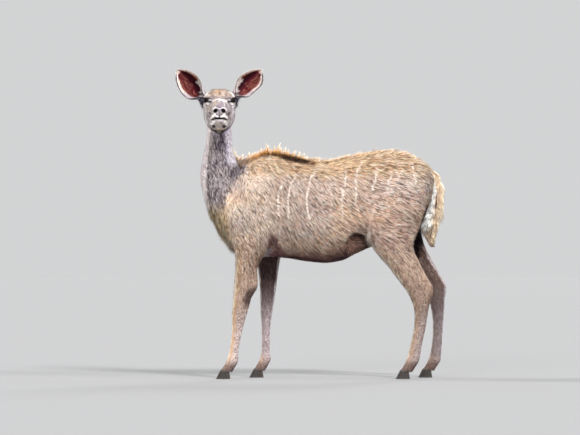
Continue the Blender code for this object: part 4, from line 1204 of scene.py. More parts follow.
    # painted shadow: between the thighs it is painted black down to the bend of the far leg
    gap = smoothstep(47.6, 48.8, x) * smoothstep(53.8, 52.4, x) * smoothstep(60, 62.5, z) * smoothstep(75, 73, z)
    gap = np.maximum(gap, smoothstep(48.4, 50, x) * smoothstep(57.5, 56, x) * smoothstep(71, 73, z) * smoothstep(82, 80, z))
    c = mix(c, lin((20, 12, 18)), 0.97 * gap * smoothstep(-9.0, -7.5, p[:, 1]) * smoothstep(13.5, 12.0, p[:, 1]))
    return c


# White stripes down the flank as (x, height) lines in centimetres, the same on both sides but for small shifts.
STRIPES_PLANE = [
    [(282.7, 182.6), (279.5, 190.4), (278.2, 198), (277.7, 206), (278, 216)],
    [(294.7, 178.4), (291, 185.7), (289, 195), (287.6, 205), (288.6, 211), (288.7, 219)],
    [(318.2, 168.5), (311.4, 177.4), (308, 188.5), (306.5, 200), (307.6, 211), (309.8, 220)],
    [(346.5, 170), (344.9, 181), (342.8, 194.7), (341.7, 206), (341.4, 215)],
    [(363.1, 161.4), (358, 171.2), (355.8, 179.2), (355.9, 190), (355.2, 205.7)],
    [(377.5, 168.3), (375.8, 177), (374.2, 185.5), (372.3, 191.3)],
    [(392.4, 176.4), (389.5, 181), (388.2, 186.5)],
    [(412.5, 164.9), (413.1, 171.2), (414.2, 179.8), (415.8, 185.0)],
]


def stripe_lines():
    out = []
    for line in STRIPES_PLANE:
        out.append([(-17.3 + ((px - 322) * 0.54 + 17.3) / 1.011, 58 + ((378 - py) * 0.54 - 58) / 1.011) for px, py in line])
    return out


STRIPES = stripe_lines()


def stripe_share(p):
    """1 on a white stripe, 0 off it."""
    wobble = noise(p * np.array([1, 0.3, 1]), 2.4, 5) * 0.30
    out = np.zeros(len(p))
    for k, line in enumerate(STRIPES):
        moved = [(x + 0.6 * ((k * 7) % 3 - 1), z) for x, z in line]
        near = np.where(p[:, 1] < 0, to_line(p[:, 0] + wobble, p[:, 2], line), to_line(p[:, 0] + wobble, p[:, 2], moved))
        out = np.maximum(out, smoothstep(0.75, 0.30, near))
    patchy = 0.55 + 0.45 * noise(p, 2.6, 6)
    return out * patchy * (np.abs(p[:, 1]) > 2.0) * (np.abs(p[:, 0]) < 58)


def front_of(f):
    return smoothstep(8, 14, f)


def face_colour(p):
    """Colour of the short coat of the head."""
    h = head_coordinates(p)
    a, f, u = np.abs(h[:, 0]), h[:, 1], h[:, 2]
    x, y = face_plane(p)
    c = np.tile(CHEEK, (len(p), 1))
    c = mix(c, MUZZLE, smoothstep(18, 26, f))
    ragged = 0.9 * noise(p, 1.6, 45)
    c = mix(c, CROWN, np.maximum(smoothstep(11.8, 14.0, u) * smoothstep(20, 14, f), smoothstep(98.6, 95.0, y + ragged) * front_of(f)))
    c = mix(c, NECK_TONE, smoothstep(4, -1, f) * smoothstep(13, 10, u))
    front = smoothstep(8, 14, f)

    def blot(cx, cy, rx, ry, tone, share, power=2, where=None):
        nonlocal c
        w = np.exp(-(np.abs((x - cx) / rx) ** power + np.abs((y - cy) / ry) ** power)) * share * (front if where is None else where)
        c = mix(c, tone, w)

    def streak(line, tone, share, wide=0.8, thin=0.3, where=None):
        nonlocal c
        w = smoothstep(wide, thin, to_line(x, y, line)) * share
        c = mix(c, tone, w * (front if where is None else where))

    # cheeks: mottled, with pale and tan hollows before the eyes and a pale streak down each edge of the jaw, whitish
    # hair brightened with painted rim light
    mottle = noise(p * np.array([1, 1, 0.6]), 1.1, 41)
    c = mix(c, c * 0.40, smoothstep(0.0, 0.6, mottle) * 0.8)
    c = mix(c, WHITE, smoothstep(0.05, 0.6, -mottle) * 0.55 * front)
    c = mix(c, lin((196, 176, 160)), smoothstep(0.1, 0.7, noise(p * np.array([1, 1, 0.7]), 1.7, 46)) * 0.45 * front * smoothstep(101, 104, y))
    blot(209.0, 108.2, 3.0, 3.6, lin((198, 178, 160)), 0.55)
    blot(229.6, 108.5, 2.6, 3.6, lin((176, 164, 172)), 0.5)
    low = smoothstep(4, 10, f)
    streak([(204.9, 104.5), (204.9, 112.0), (205.1, 117.6), (206.4, 121.8), (207.9, 125.2), (210.6, 127.4), (212.5, 128.6)], WHITE, 0.62, 1.7, 0.2, low * (0.75 + 0.35 * mottle).clip(0, 1))
    streak([(233.4, 105.0), (232.9, 113.4), (231.8, 119.7), (230.3, 123.9), (228.3, 126.6), (225.8, 128.3)], lin((236, 234, 248)), 0.50, 1.6, 0.2, low * (0.75 + 0.35 * mottle).clip(0, 1))
    streak([(207.2, 106.0), (207.0, 114.0), (208.6, 120.0)], lin((150, 136, 138)), 0.5, 1.2, 0.4)
    streak([(230.9, 106.0), (230.6, 113.0), (229.4, 119.0)], lin((150, 138, 150)), 0.5, 1.2, 0.4)
    # crown: pale pinkish grey with a tan middle that runs out in streaks from a small dark whorl
    high_up = np.maximum(front, smoothstep(11.8, 14.0, u) * smoothstep(20, 14, f))
    c = mix(c, lin((176, 150, 136)), 0.55 * smoothstep(0.0, 0.6, noise(p, 1.2, 42)) * smoothstep(97.5, 95.0, y) * high_up)
    c = mix(c, lin((240, 228, 222)), 0.60 * smoothstep(0.0, 0.6, noise(p, 1.0, 43)) * smoothstep(97.5, 95.0, y) * high_up)
    blot(218.3, 91.6, 4.4, 3.2, lin((206, 166, 126)), 0.85, 2, high_up)
    angle = np.arctan2(y - 92.8, x - 219.4)
    ray = smoothstep(0.2, 0.9, np.sin(angle * 9.0 + 1.5 * noise(p, 1.5, 47)))
    c = mix(c, lin((244, 224, 204)), 0.6 * ray * np.exp(-(((x - 218.6) / 5.0) ** 2 + ((y - 92.0) / 3.6) ** 2)) * high_up)
    blot(219.7, 92.7, 0.85, 1.5, lin((96, 68, 46)), 0.9, 2, high_up)
    blot(219.0, 97.3, 8.0, 1.15, lin((158, 134, 128)), 0.80)
    streak([(207.6, 97.5), (211.9, 98.8)], lin((80, 72, 80)), 0.85, 1.0, 0.35)
    streak([(226.4, 98.6), (230.2, 97.4)], lin((80, 76, 90)), 0.85, 1.0, 0.35)
    # white chevron over the bridge
    streak([(211.9, 102.2), (213.8, 100.3), (217.2, 98.9), (220.7, 99.0), (224.1, 100.1), (227.0, 102.1)], WHITE, 0.80, 0.75, 0.2)
    blot(220.2, 104.3, 3.0, 2.6, lin((158, 142, 156)), 0.88)
    blot(214.9, 103.2, 1.7, 2.6, lin((200, 178, 156)), 0.75)
    streak([(223.3, 101.4), (224.2, 104.0), (224.9, 106.2)], lin((236, 228, 232)), 0.65, 0.8, 0.2)
    streak([(213.2, 104.0), (212.8, 107.2)], lin((228, 214, 202)), 0.4, 0.8, 0.25)
    streak([(216.6, 106.8), (219.4, 107.2), (221.7, 106.8)], lin((70, 66, 86)), 0.92, 0.8, 0.3)
    # naked nose: a painted wet highlight as a pale rim over the nostrils, grey between and under them, and painted
    # shade beside the nostril wings
    streak([(212.9, 110.2), (213.3, 108.4), (215.0, 107.5), (217.0, 107.7), (219.3, 108.6), (221.6, 107.7), (223.7, 107.3), (225.7, 108.3), (226.2, 110.2)], lin((236, 228, 238)), 0.92, 0.65, 0.2)
    blot(219.2, 111.8, 1.8, 3.0, lin((112, 102, 118)), 0.95)
    blot(219.3, 115.6, 1.3, 2.0, lin((96, 84, 88)), 0.90)
    blot(212.6, 113.3, 1.7, 1.0, lin((92, 78, 80)), 0.8)
    blot(226.2, 112.9, 1.4, 1.6, lin((112, 96, 98)), 0.85)
    # white lip wedges
    for line in ([(210.7, 117.7), (213.2, 115.9), (215.4, 115.4), (217.7, 116.5)], [(227.4, 117.9), (225.3, 116.2), (223.0, 115.4), (220.9, 116.7)]):
        streak(line, WHITE, 0.82, 1.0, 0.4, smoothstep(22.5, 26.5, f))
    streak([(214.3, 113.8), (215.4, 115.2)], WHITE, 0.9, 0.9, 0.4)
    streak([(224.2, 114.2), (223.2, 115.2)], WHITE, 0.9, 0.9, 0.4)
    blot(216.6, 114.2, 1.0, 0.8, lin((84, 84, 124)), 0.9)
    blot(221.4, 114.1, 1.0, 0.8, lin((84, 84, 124)), 0.9)
    # whisker spots, and painted shade in the crease beside the nose
    streak([(208.9, 112.3), (210.6, 114.0)], lin((70, 54, 58)), 0.9, 0.85, 0.35)
    streak([(229.7, 112.2), (228.0, 114.5)], lin((52, 40, 46)), 0.95, 0.9, 0.4)
    for sx, sy in ((211.9, 122.2), (214.4, 123.1), (210.6, 125.6), (225.4, 123.0), (209.4, 116.3), (229.0, 117.0)):
        blot(sx, sy, 0.75, 0.7, lin((70, 56, 58)), 0.8)
    # below the mouth: pale lip, grey chin, and two dark patches of painted shadow under the jaw by its tip
    streak([(214.0, 120.6), (219.0, 120.3), (224.0, 120.6)], lin((220, 210, 216)), 0.9, 1.3, 0.6)
    streak([(211.3, 121.2), (213.9, 122.2)], WHITE, 0.95, 1.6, 0.5, smoothstep(23, 27, f))
    streak([(224.4, 122.2), (226.9, 121.2)], WHITE, 0.95, 1.6, 0.5, smoothstep(23, 27, f))
    blot(218.6, 124.6, 3.4, 3.0, lin((196, 182, 176)), 0.85)
    blot(211.6, 124.0, 1.7, 1.8, lin((242, 234, 232)), 0.75)
    blot(226.6, 124.0, 1.7, 1.8, lin((242, 234, 232)), 0.75)
    blot(213.5, 126.4, 2.0, 1.9, lin((24, 12, 14)), 1.0, 4)
    blot(224.0, 126.3, 2.0, 1.7, lin((26, 14, 16)), 1.0, 4)
    blot(217.6, 129.6, 2.2, 1.8, lin((236, 216, 188)), 0.85)
    blot(221.0, 130.2, 1.6, 1.3, lin((226, 204, 176)), 0.70)
    # the chin ends in a point, drawn by a painted shadow line under the jaw's edge; beyond it lies the throat, its
    # right half darker with painted shade
    dx = np.abs(x - 219.2)
    edge = y - (133.3 - 0.42 * dx - 0.026 * dx**2)
    under = smoothstep(0.1, 0.9, edge) * smoothstep(13.5, 11.5, dx) * smoothstep(2.0, 5.0, f)
    throat = mix(np.tile(lin((150, 138, 140)), (len(p), 1)), lin((92, 84, 108)), smoothstep(217.0, 221.0, x))
    throat = mix(throat, throat * 0.55, smoothstep(0.0, 0.6, noise(p * np.array([1, 1, 0.5]), 1.5, 48)))
    c = mix(c, throat, 0.92 * under)
    c = mix(c, lin((34, 26, 32)), 0.95 * smoothstep(0.85, 0.30, np.abs(edge)) * smoothstep(10.5, 8.5, dx) * smoothstep(2.0, 5.0, f))
    # around the eyes: dark rim drawn out to the inner corner, white spots beneath
    for ex, ix, side in ((205.9, 210.6, -1), (233.2, 228.4, 1)):
        blot(ex - side * 0.2, 100.1, 2.85, 2.45, lin((16, 12, 15)), 1.0, 6)
        streak([(ex - side * 1.5, 101.2), (ix, 101.7)], lin((30, 24, 32)), 0.95, 0.95, 0.4)
        blot(ix, 101.7, 1.5, 1.0, BLACK, 1.0, 3)
        streak([(ex + side * 1.3, 98.2), (ex + side * 3.3, 97.4)], lin((24, 18, 24)), 0.9, 0.9, 0.35)
        streak([(ex - side * 1.2, 103.3), (ex - side * 1.4, 104.2)], WHITE, 0.35, 0.75, 0.2)
        streak([(ex + side * 0.6, 104.8), (ex - side * 1.8, 105.6)], lin((92, 82, 96)), 0.75, 0.75, 0.3)
        blot(ix + side * 0.6, 99.6, 1.6, 0.7, lin((190, 178, 178)), 0.6)
    # temples: pale line along the brow, and dark hair between it and the ear, deepened with painted shade under the ear
    rim_left = np.interp(y, [88.9, 89.8, 92.6, 94.7, 97.4, 99.0], [213.5, 209.4, 206.4, 205.0, 203.0, 202.0])
    rim_right = np.interp(y, [89.5, 90.8, 93.8, 97.4, 99.0], [227.5, 230.0, 233.0, 235.9, 237.0])
    beyond = np.maximum(rim_left - x, x - rim_right)
    high = smoothstep(98.6, 97.4, y) * (y > 80)
    c = mix(c, WHITE, 0.95 * smoothstep(-2.0, -1.1, beyond) * smoothstep(0.5, 0.0, beyond) * high * smoothstep(89.5, 91.5, y) * smoothstep(10.8, 12.4, f))
    c = mix(c, TEMPLE_HAIR_AND_SHADE, 0.70 * smoothstep(-0.1, 0.7, beyond) * smoothstep(99.8, 98.6, y) * (y > 80) * smoothstep(7.0, 9.0, u))
    # nostrils and the slit of the mouth
    q = np.abs(h[:, 0])
    pit = np.exp(-((((q - 2.1) / 1.26) ** 2 + ((u - 3.75 + 0.2 * (q - 2.1)) / 1.20) ** 2) ** 2.5)) * smoothstep(30.0, 31.5, f)
    c = mix(c, BLACK, np.clip(pit * 1.4, 0, 1))
    slit = mouth_height(h[:, 0]) - 0.045 * np.maximum(31.0 - f, 0.0)
    wide = np.interp(q, [0, 1.5, 3.4, 4.3, 4.9], [0.66, 0.54, 0.40, 0.62, 0.5])
    dark = smoothstep(1.25, 0.6, np.abs(u - slit) / wide) * smoothstep(24.0, 27.0, f)
    c = mix(c, BLACK, dark)
    # the face is greyer than its white marks; the chin is paler than the cheeks and painted lighter still against the
    # shade of its downward face
    grey = 0.68 + 0.32 * smoothstep(0.62, 0.82, c.min(1))
    grey = grey * (1 - 0.14 * smoothstep(98, 95, y)) * (1 - 0.14 * smoothstep(213, 209, x) * smoothstep(102, 105, y) * smoothstep(120, 117, y))
    grey = grey * (1 + 0.85 * smoothstep(120.6, 122.0, y) * smoothstep(131.0, 128.0, y) * front * smoothstep(9.5, 6.5, np.abs(x - 219.0)))
    c = c * (1 - front * (1 - grey))[:, None]
    # behind the face the coat turns to the neck's grey
    c = mix(c, NECK_DARK, smoothstep(3.0, -2.0, u) * smoothstep(16.0, 6.0, f) * 0.8 * (1 - under))
    return c


def ear_colour(part, t, v):
    """Colour of the ear by side (1 inner, 2 outer), share of its length, and share across from jaw (-1) to crown (1)."""
    grid = np.stack([t * 9, v * 5, part], 1)
    ragged = 0.05 * noise(grid, 0.7, 55)
    inner = np.tile(EAR_RED, (len(t), 1))
    # tan streaks fan out from the root over the red skin, darker towards the root
    fan = np.sin((v - 0.25 * t) * 30.0 + 2.5 * noise(grid, 1.0, 51)) * 0.5 + noise(grid * np.array([0.45, 2.4, 1]), 0.7, 52)
    inner = mix(inner, lin((176, 112, 92)), smoothstep(0.2, 1.0, fan) * smoothstep(0.15, 0.35, t) * smoothstep(0.40, 0.15, v) * 0.80)
    inner = mix(inner, lin((70, 20, 34)), smoothstep(0.1, 0.7, -fan) * 0.7 * smoothstep(0.40, 0.15, v))
    inner = mix(inner, lin((74, 24, 38)), smoothstep(0.40, 0.22, t) * 0.75)
    # painted shade in the trough under the crown-side rim, over its red skin
    inner = mix(inner, EAR_TROUGH_SHADE, smoothstep(0.10, 0.30, v + ragged + 0.10 * np.sin(t * 5)) * smoothstep(0.95, 0.86, t) * smoothstep(0.18, 0.3, t) * 0.97)
    inner = mix(inner, lin((168, 100, 72)), smoothstep(0.66, 0.73, v + ragged) * smoothstep(0.35, 0.5, t) * 0.8)
    inner = mix(inner, lin((208, 192, 182)), smoothstep(0.76, 0.83, v + ragged) * smoothstep(0.22, 0.34, t) * 0.92)
    # pale fringe along the lower rim and round the tip, pale bundle by the crown-side rim near the root
    edge = np.interp(t, [0.0, 0.18, 0.35, 0.60, 0.85, 1.0], [0.05, 0.26, 0.42, 0.62, 0.66, 0.60])
    fringe = smoothstep(edge - 0.08, edge + 0.05, -v + ragged) * smoothstep(0.04, 0.12, t)
    inner = mix(inner, EAR_RIM, fringe * 0.95)
    inner = mix(inner, lin((186, 176, 186)), fringe * 0.85 * smoothstep(0.62, 0.42, t))
    inner = mix(inner, EAR_RIM, smoothstep(0.95, 0.985, t + ragged) * smoothstep(0.65, 0.25, v) * 0.95)
    near_root = np.interp(t, [0.0, 0.14, 0.24, 0.36, 0.50], [-0.25, -0.05, 0.16, 0.38, 0.56])
    inner = mix(inner, lin((222, 212, 206)), smoothstep(near_root, near_root + 0.12, v + ragged) * smoothstep(0.10, 0.16, t) * smoothstep(0.54, 0.44, t) * 0.95)
    inner = mix(inner, lin((226, 214, 214)), smoothstep(0.16, 0.10, t) * smoothstep(-0.8, -0.4, v) * 0.8)
    inner = mix(inner, lin((44, 34, 44)), smoothstep(0.86, 0.93, v) * smoothstep(0.56, 0.46, t) * 0.85)
    inner = mix(inner, lin((34, 26, 34)), smoothstep(-0.925, -0.955, v) * smoothstep(0.96, 0.90, t) * smoothstep(0.34, 0.46, t) * 0.92)
    outer = np.tile(EAR_GREY, (len(t), 1))
    outer = mix(outer, lin((196, 176, 162)), smoothstep(0.35, 0.8, t) * 0.6)
    outer = mix(outer, lin((128, 116, 122)), smoothstep(0.1, 0.6, noise(grid, 1.6, 54)) * 0.6)
    rim = smoothstep(0.86, 0.95, np.maximum(t, np.abs(v)))
    outer = mix(outer, np.where((v < 0.2)[:, None], lin((34, 26, 34)), lin((198, 188, 190))), rim * 0.92)
    c = np.where((part == 1)[:, None], inner, outer)
    # the ear's root darkens into the temple's dark hair and painted shade
    return mix(c, TEMPLE_HAIR_AND_SHADE, smoothstep(0.18, 0.06, t) * 0.85 * np.where(part == 1, 0.8 * smoothstep(0.2, 0.6, v), 1.0))


# ---------------------------------------------------------------- the skin as one mesh
def build_surface():
    """Skin of body and ears together, with what the coat needs at each point."""
    p, quads, e, degree = build_skin()
    n = normals_of(p, quads)
    count = len(p)
    part, t, v = np.zeros(count), np.zeros(count), np.zeros(count)
    flow = coat_flow(p, n)
    for k in range(8):
        flow = averaged(flow, e, degree) * 0.6 + flow * 0.4
    flow = unit(flow - n * (flow * n).sum(1)[:, None])
    points, faces, normals, flows, parts, ts, vs, sides = [p], [quads], [n], [flow], [part], [t], [v], [np.zeros(count)]
    start = count
    for side in (-1, 1):
        q, f, info = ear_shell(side)
        m = len(q) // 2
        grid = q[:m].reshape(EAR_STEPS, EAR_ACROSS, 3)
        along = unit(np.gradient(grid, axis=0)).reshape(-1, 3)
        across = unit(np.gradient(grid, axis=1)).reshape(-1, 3)
        tt, vv = info[:m, 1], info[:m, 2]
        # hair runs up the ear and fans out towards its rims
        run = along + across * (0.55 * vv * smoothstep(0.1, 0.5, tt))[:, None]
        points.append(q)
        faces.append(f + start)
        nn = normals_of(q, f)
        normals.append(nn)
        run = np.concatenate([run, run])
        flows.append(unit(run - nn * (run * nn).sum(1)[:, None]))
        parts.append(info[:, 0])
        ts.append(info[:, 1])
        vs.append(info[:, 2])
        sides.append(np.full(len(q), side))
        start += len(q)
    s = {
        "p": np.concatenate(points), "n": np.concatenate(normals), "flow": np.concatenate(flows),
        "part": np.concatenate(parts), "t": np.concatenate(ts), "v": np.concatenate(vs), "side": np.concatenate(sides),
    }
    s["quads"] = np.concatenate(faces)
    s["tris"] = np.concatenate([s["quads"][:, [0, 1, 2]], s["quads"][:, [0, 2, 3]]])
    return s


def coat_flow(p, n):
    """The way the hair lies, before it is laid on the skin."""
    x, z = p[:, 0], p[:, 2]
    down = np.interp(x, [-56, -46, -10, 12, 26, 40, 60], [80, 60, 52, 44, 26, 24, 30])
    down = down + np.interp(z, [8, 30, 50, 62, 78], [86, 84, 74, 52, 0]) * (1 - down / 90)
    down = np.minimum(down, 88)
    spine = smoothstep(0.55, 0.95, n[:, 2]) * smoothstep(100, 108, z)
    down = down * (1 - 0.85 * spine)
    a = np.radians(down)
    body = np.stack([np.cos(a), np.zeros(len(p)), -np.sin(a)], 1)
    # on the belly the hair runs back
    belly = smoothstep(-0.6, -0.95, n[:, 2]) * smoothstep(58, 62, z)
    body = mix(body, np.array([1.0, 0.0, -0.1]), belly)
    # neck: down and slightly back, off the middle line of the throat
    neck = smoothstep(3.0, -3.0, x - neck_edge(z)) * smoothstep(76, 86, z)
    down_neck = np.stack([np.full(len(p), 0.22), 0.25 * np.sign(p[:, 1]) * smoothstep(0, 3, np.abs(p[:, 1])), np.full(len(p), -1.0)], 1)
    body = mix(body, unit(down_neck), neck)
    # head: away from the nose
    h = head_coordinates(p)
    head = smoothstep(-3.0, 3.0, nape_side(p))
    away = np.stack([0.22 * np.tanh(h[:, 0] / 3.0), np.ones(len(p)), 0.10 + 0.25 * np.tanh((h[:, 2] - 4.0) / 4.0)], 1)
    return unit(mix(body, unit(away), head))


# ---------------------------------------------------------------- the coat
class Scatter:
    """Roots spread over the surface by a density per square centimetre."""

    def __init__(self, s, density):
        tris = s["tris"]
        a, b, c = (s["p"][tris[:, k]] for k in range(3))
        area = np.linalg.norm(np.cross(b - a, c - a), axis=1) / 2
        weight = area * density[tris].mean(1)
        run = np.cumsum(weight)
        n = int(run[-1])
        pick = np.searchsorted(run, (np.arange(n) + rng.random(n)) * (run[-1] / n))
        pick = np.minimum(pick, len(tris) - 1)
        r1, r2 = rng.random(n), rng.random(n)
        turn = r1 + r2 > 1
        r1[turn], r2[turn] = 1 - r1[turn], 1 - r2[turn]
        self.w = np.stack([1 - r1 - r2, r1, r2], 1)
        self.tri = tris[pick]
        self.s = s
        self.n = n

    def of(self, values):
        v = values[self.tri]
        return np.einsum("nk,nk...->n...", self.w, v)


def turned(t, n, angle):
    """Tangent t turned about n by an angle in radians."""
    side = np.cross(n, t)
    return t * np.cos(angle)[:, None] + side * np.sin(angle)[:, None]


def near_leaders(p, share):
    """Index of the nearest of a few chosen roots, for each root."""
    n = len(p)
    chosen = rng.permutation(n)[: max(1, int(n * share))]
    tree = KDTree(len(chosen))
    for k, i in enumerate(chosen):
        tree.insert(p[i], k)
    tree.balance()
    find = tree.find
    return chosen[np.fromiter((find(q)[1] for q in p), np.int64, n)]


def locks(p, n, t, length, width, rise, root_tone, tip_tone, levels=(0.0, 0.42), curl=0.75, thick=0.30, tones=None, sink=0.12, spread=None):
    """Three-sided locks of hair that taper to a point: (N, V, 3) points, triangles of one, (N, V, 3) colours, (V, 2) places in its patch."""
    count = len(p)
    side = unit(np.cross(n, t))
    verts, cols, uv = [], [], []
    lean = np.sin(rise)
    for k, s in enumerate(levels):
        c = p + t * (length * s * np.cos(rise))[:, None] + n * (length * lean * s * (1 - curl * s) - (sink if k == 0 else 0.0))[:, None]
        w = width * (0.75 if k == 0 else 1.0 - 0.65 * max(0.0, s - 0.35) / 0.65)
        tone = tones(s) if tones else mix(root_tone, tip_tone, np.full(count, min(1.0, 0.15 + 1.25 * s)))
        verts += [c - side * (w / 2)[:, None], c + side * (w / 2)[:, None], c + n * (w * thick)[:, None]]
        cols += [tone * 0.92, tone * 0.92, tone]
        uv += [(-0.5, s), (0.5, s), (0.0, s + 0.02)]
    c = p + t * (length * np.cos(rise))[:, None] + n * (length * lean * (1 - curl))[:, None]
    if spread is not None:
        c = c + side * (spread * length)[:, None]
    verts.append(c)
    cols.append(tones(1.0) if tones else tip_tone)
    uv.append((0.0, 1.0))
    tris = [(0, 2, 1)]
    m = len(levels)
    for k in range(m - 1):
        a, b = 3 * k, 3 * k + 3
        for i, j in ((0, 1), (1, 2), (2, 0)):
            tris += [(a + i, a + j, b + j), (a + i, b + j, b + i)]
    a, tip = 3 * (m - 1), 3 * m
    tris += [(a, a + 1, tip), (a + 1, a + 2, tip), (a + 2, a, tip)]
    return np.stack(verts, 1), np.array(tris), np.stack(cols, 1), np.array(uv)


COAT_PIECES = []
PATCH = 0.003


def coat_piece(name, batches, slot):
    """Joins batches of locks, each (points, triangles, colours, patch, root place on the unwrap), to one mesh."""
    points, faces, colours, places, start = [], [], [], [], 0
    for verts, tris, cols, uv, root in batches:
        n, v = verts.shape[:2]
        points.append(verts.reshape(-1, 3))
        colours.append(cols.reshape(-1, 3))
        faces.append((tris[None] + (np.arange(n) * v)[:, None, None]).reshape(-1, 3) + start)
        root = 0.004 + np.clip(root, 0, 1) * (1 - 0.008)
        places.append((root[:, None, :] + (uv[None] - np.array([0.0, 0.5])) * PATCH).reshape(-1, 2))
        start += n * v
    points, faces = to_row(np.concatenate(points)), np.concatenate(faces)
    if len(faces) > 199000:
        raise ValueError("%s has %d triangles" % (name, len(faces)))
    obj = mesh_object(name, points, faces, smooth=True)
    paint(obj, np.concatenate(colours))
    layer = obj.data.uv_layers.new(name="OFBake")
    index = np.empty(len(obj.data.loops), np.int32)
    obj.data.loops.foreach_get("vertex_index", index)
    layer.data.foreach_set("uv", np.concatenate(places)[index].astype(np.float32).ravel())
    obj.data.materials.append(HAIR)
    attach(obj, "root")
    COAT_PIECES.append((name, len(faces)))
    return obj


def paint(obj, colours):
    layer = obj.data.color_attributes.new(name="tone", type="FLOAT_COLOR", domain="POINT")
    rgba = np.ones((len(colours), 4), np.float32)
    rgba[:, :3] = np.clip(colours, 0, 1)
    layer.data.foreach_set("color", rgba.ravel())
    obj.data.color_attributes.active_color = layer


def limb_of(p):
    """Index of the leg a point belongs to: 0 and 1 fore left and right, 2 and 3 hind left and right."""
    return (p[:, 0] > 5).astype(int) * 2 + (p[:, 1] > 0)


LIMB_ROWS = (FORE_LEFT, FORE_RIGHT, HIND_LEFT, HIND_RIGHT)


def unwrap(p, kind, low=None, high=None, t=None, v=None, part=None, side=None):
    """Place of a root on an unwrap of the skin round the body, neck, head, legs, tail or ears."""
    x, y, z = p[:, 0], p[:, 1], p[:, 2]
    if kind == "trunk":
        centre = np.interp(x, [-50, 0, 30, 60], [88, 88, 96, 102])
        around = np.arctan2(z - centre, np.abs(y)) / math.pi + 0.5
        return np.stack([(x - low) / (high - low), around], 1)
    if kind == "neck":
        rows = np.array(NECK)[::-1]
        cx = np.interp(z, rows[:, 0], (rows[:, 1] + rows[:, 2]) / 2)
        cy = np.interp(z, rows[:, 0], rows[:, 3])
        return np.stack([np.arctan2(y - cy, x - cx) / (2 * math.pi) + 0.5, (z - 66) / 90], 1)
    if kind == "head":
        h = head_coordinates(p)
        return np.stack([np.arctan2(h[:, 0], h[:, 2] - 4.0) / (2 * math.pi) + 0.5, (h[:, 1] + 8) / 44], 1)
    if kind == "leg":
        limb = limb_of(p)
        out = np.zeros((len(p), 2))
        for k in range(4):
            on = limb == k
            rows = np.array(LIMB_ROWS[k])[::-1]
            cx = np.interp(z[on], rows[:, 0], (rows[:, 1] + rows[:, 2]) / 2)
            cy = np.interp(z[on], rows[:, 0], rows[:, 3])
            out[on, 0] = (k + np.arctan2(y[on] - cy, x[on] - cx) / (2 * math.pi) + 0.5) / 4
            out[on, 1] = (z[on] - low) / (high - low)
        return out
    if kind == "ear":
        column = (side > 0) * 2 + (part > 1)
        return np.stack([(column + (v * 0.5 + 0.5)) / 4, t], 1)
    raise ValueError(kind)


def coat_fields(s):
    """Length, width, density and rise of the hair at each point of the skin, and which piece it belongs to."""
    p, n, part = s["p"], s["n"], s["part"]
    x, y, z = p[:, 0], np.abs(p[:, 1]), p[:, 2]
    h = head_coordinates(p)
    head = nape_side(p) > 0
    body = part == 0
    length = np.interp(z, [4, 8, 12, 30, 40, 50, 62, 76, 200], [1.2, 1.0, 0.80, 0.95, 1.2, 1.6, 2.3, 3.1, 3.1])
    width = np.interp(z, [4, 12, 30, 50, 64, 78, 200], [0.17, 0.16, 0.16, 0.17, 0.20, 0.225, 0.225])
    density = np.interp(z, [4, 12, 30, 50, 64, 78, 200], [14, 13, 12.0, 11.0, 9.8, 8.7, 8.7])
    rise = np.radians(np.interp(z, [4, 12, 40, 66, 90, 200], [20, 12, 13, 15, 15, 15]))
    spine = smoothstep(0.6, 0.95, n[:, 2]) * smoothstep(100, 108, z)
    length = length + 0.7 * spine
    rise = rise + np.radians(10) * spine
    neck = smoothstep(2.0, -2.0, x - neck_edge(z)) * smoothstep(74, 86, z)
    for field, value in ((length, 1.9), (width, 0.23), (density, 10.6), (rise, math.radians(17))):
        field += (value - field) * neck
    chest = smoothstep(-46, -51, x) * smoothstep(66, 72, z) * smoothstep(106, 92, z) * smoothstep(8.5, 4.0, y)
    length = length + 2.4 * chest
    rise = rise + np.radians(17) * chest
    front = smoothstep(-2, 2, nape_side(p))
    f, a, u = h[:, 1], np.abs(h[:, 0]), h[:, 2]
    hl = np.interp(f, [-2, 4, 10, 18, 26, 31, 34], [1.7, 1.4, 1.1, 0.85, 0.62, 0.42, 0.3])
    hl = hl + 0.5 * smoothstep(13.0, 15.5, u) * (f < 15)
    for field, value in (
        (length, hl),
        (width, np.interp(f, [-2, 10, 24, 34], [0.24, 0.18, 0.13, 0.09])),
        (density, np.interp(f, [-2, 10, 24, 34], [10, 15, 21, 30])),
        (rise, np.radians(np.interp(f, [-2, 10, 34], [18, 13, 10]))),
    ):
        field += (value - field) * front
    # bare nose, lips, mouth slit and the rim of the eyes
    nose = np.exp(-((a / 3.3) ** 4 + ((u - 3.4) / 2.3) ** 4)) * smoothstep(31.8, 33.0, f)
    density = density * (1 - np.clip(nose * 1.4, 0, 1) * front)
    slit = mouth_height(h[:, 0]) - 0.045 * np.maximum(31.0 - f, 0.0)
    density = density * (1 - front * smoothstep(0.55, 0.3, np.abs(u - slit)) * smoothstep(24, 27, f))
    for side in (-1, 1):
        centre, axis, nose_way, up = eye_frame(side)
        d = p - centre
        ex, ey = d @ nose_way, d @ up
        r = np.sqrt((ex / LID_HALF[0]) ** 2 + (ey / LID_HALF[1]) ** 2)
        density = density * np.where((d @ axis > 0) & (r < 1.55), 0.0, 1.0)
        length = np.where((d @ axis > 0) & (r < 2.2), length * 0.6, length)
    # under the hooves' rims nothing grows
    density = density * (z > 4.35)
    # ears
    t, v = s["t"], s["v"]
    ear_len = np.where(part == 1, 0.9 + 1.0 * smoothstep(0.5, 1.0, np.abs(v)), 1.0 + 0.3 * smoothstep(0.4, 0.0, t))
    length = np.where(body, length, ear_len)
    width = np.where(body, width, 0.15)
    rise = np.where(body, rise, np.radians(12))
    ear_density = np.where(part == 1, 7.0 + 9.0 * smoothstep(0.72, 0.9, np.abs(v)), 11.0) * smoothstep(0.0, 0.06, t)
    density = np.where(body, density, ear_density)
    s["length"], s["width"], s["density"], s["rise"] = length, width, density, rise
    s["head"] = head & body
    return s


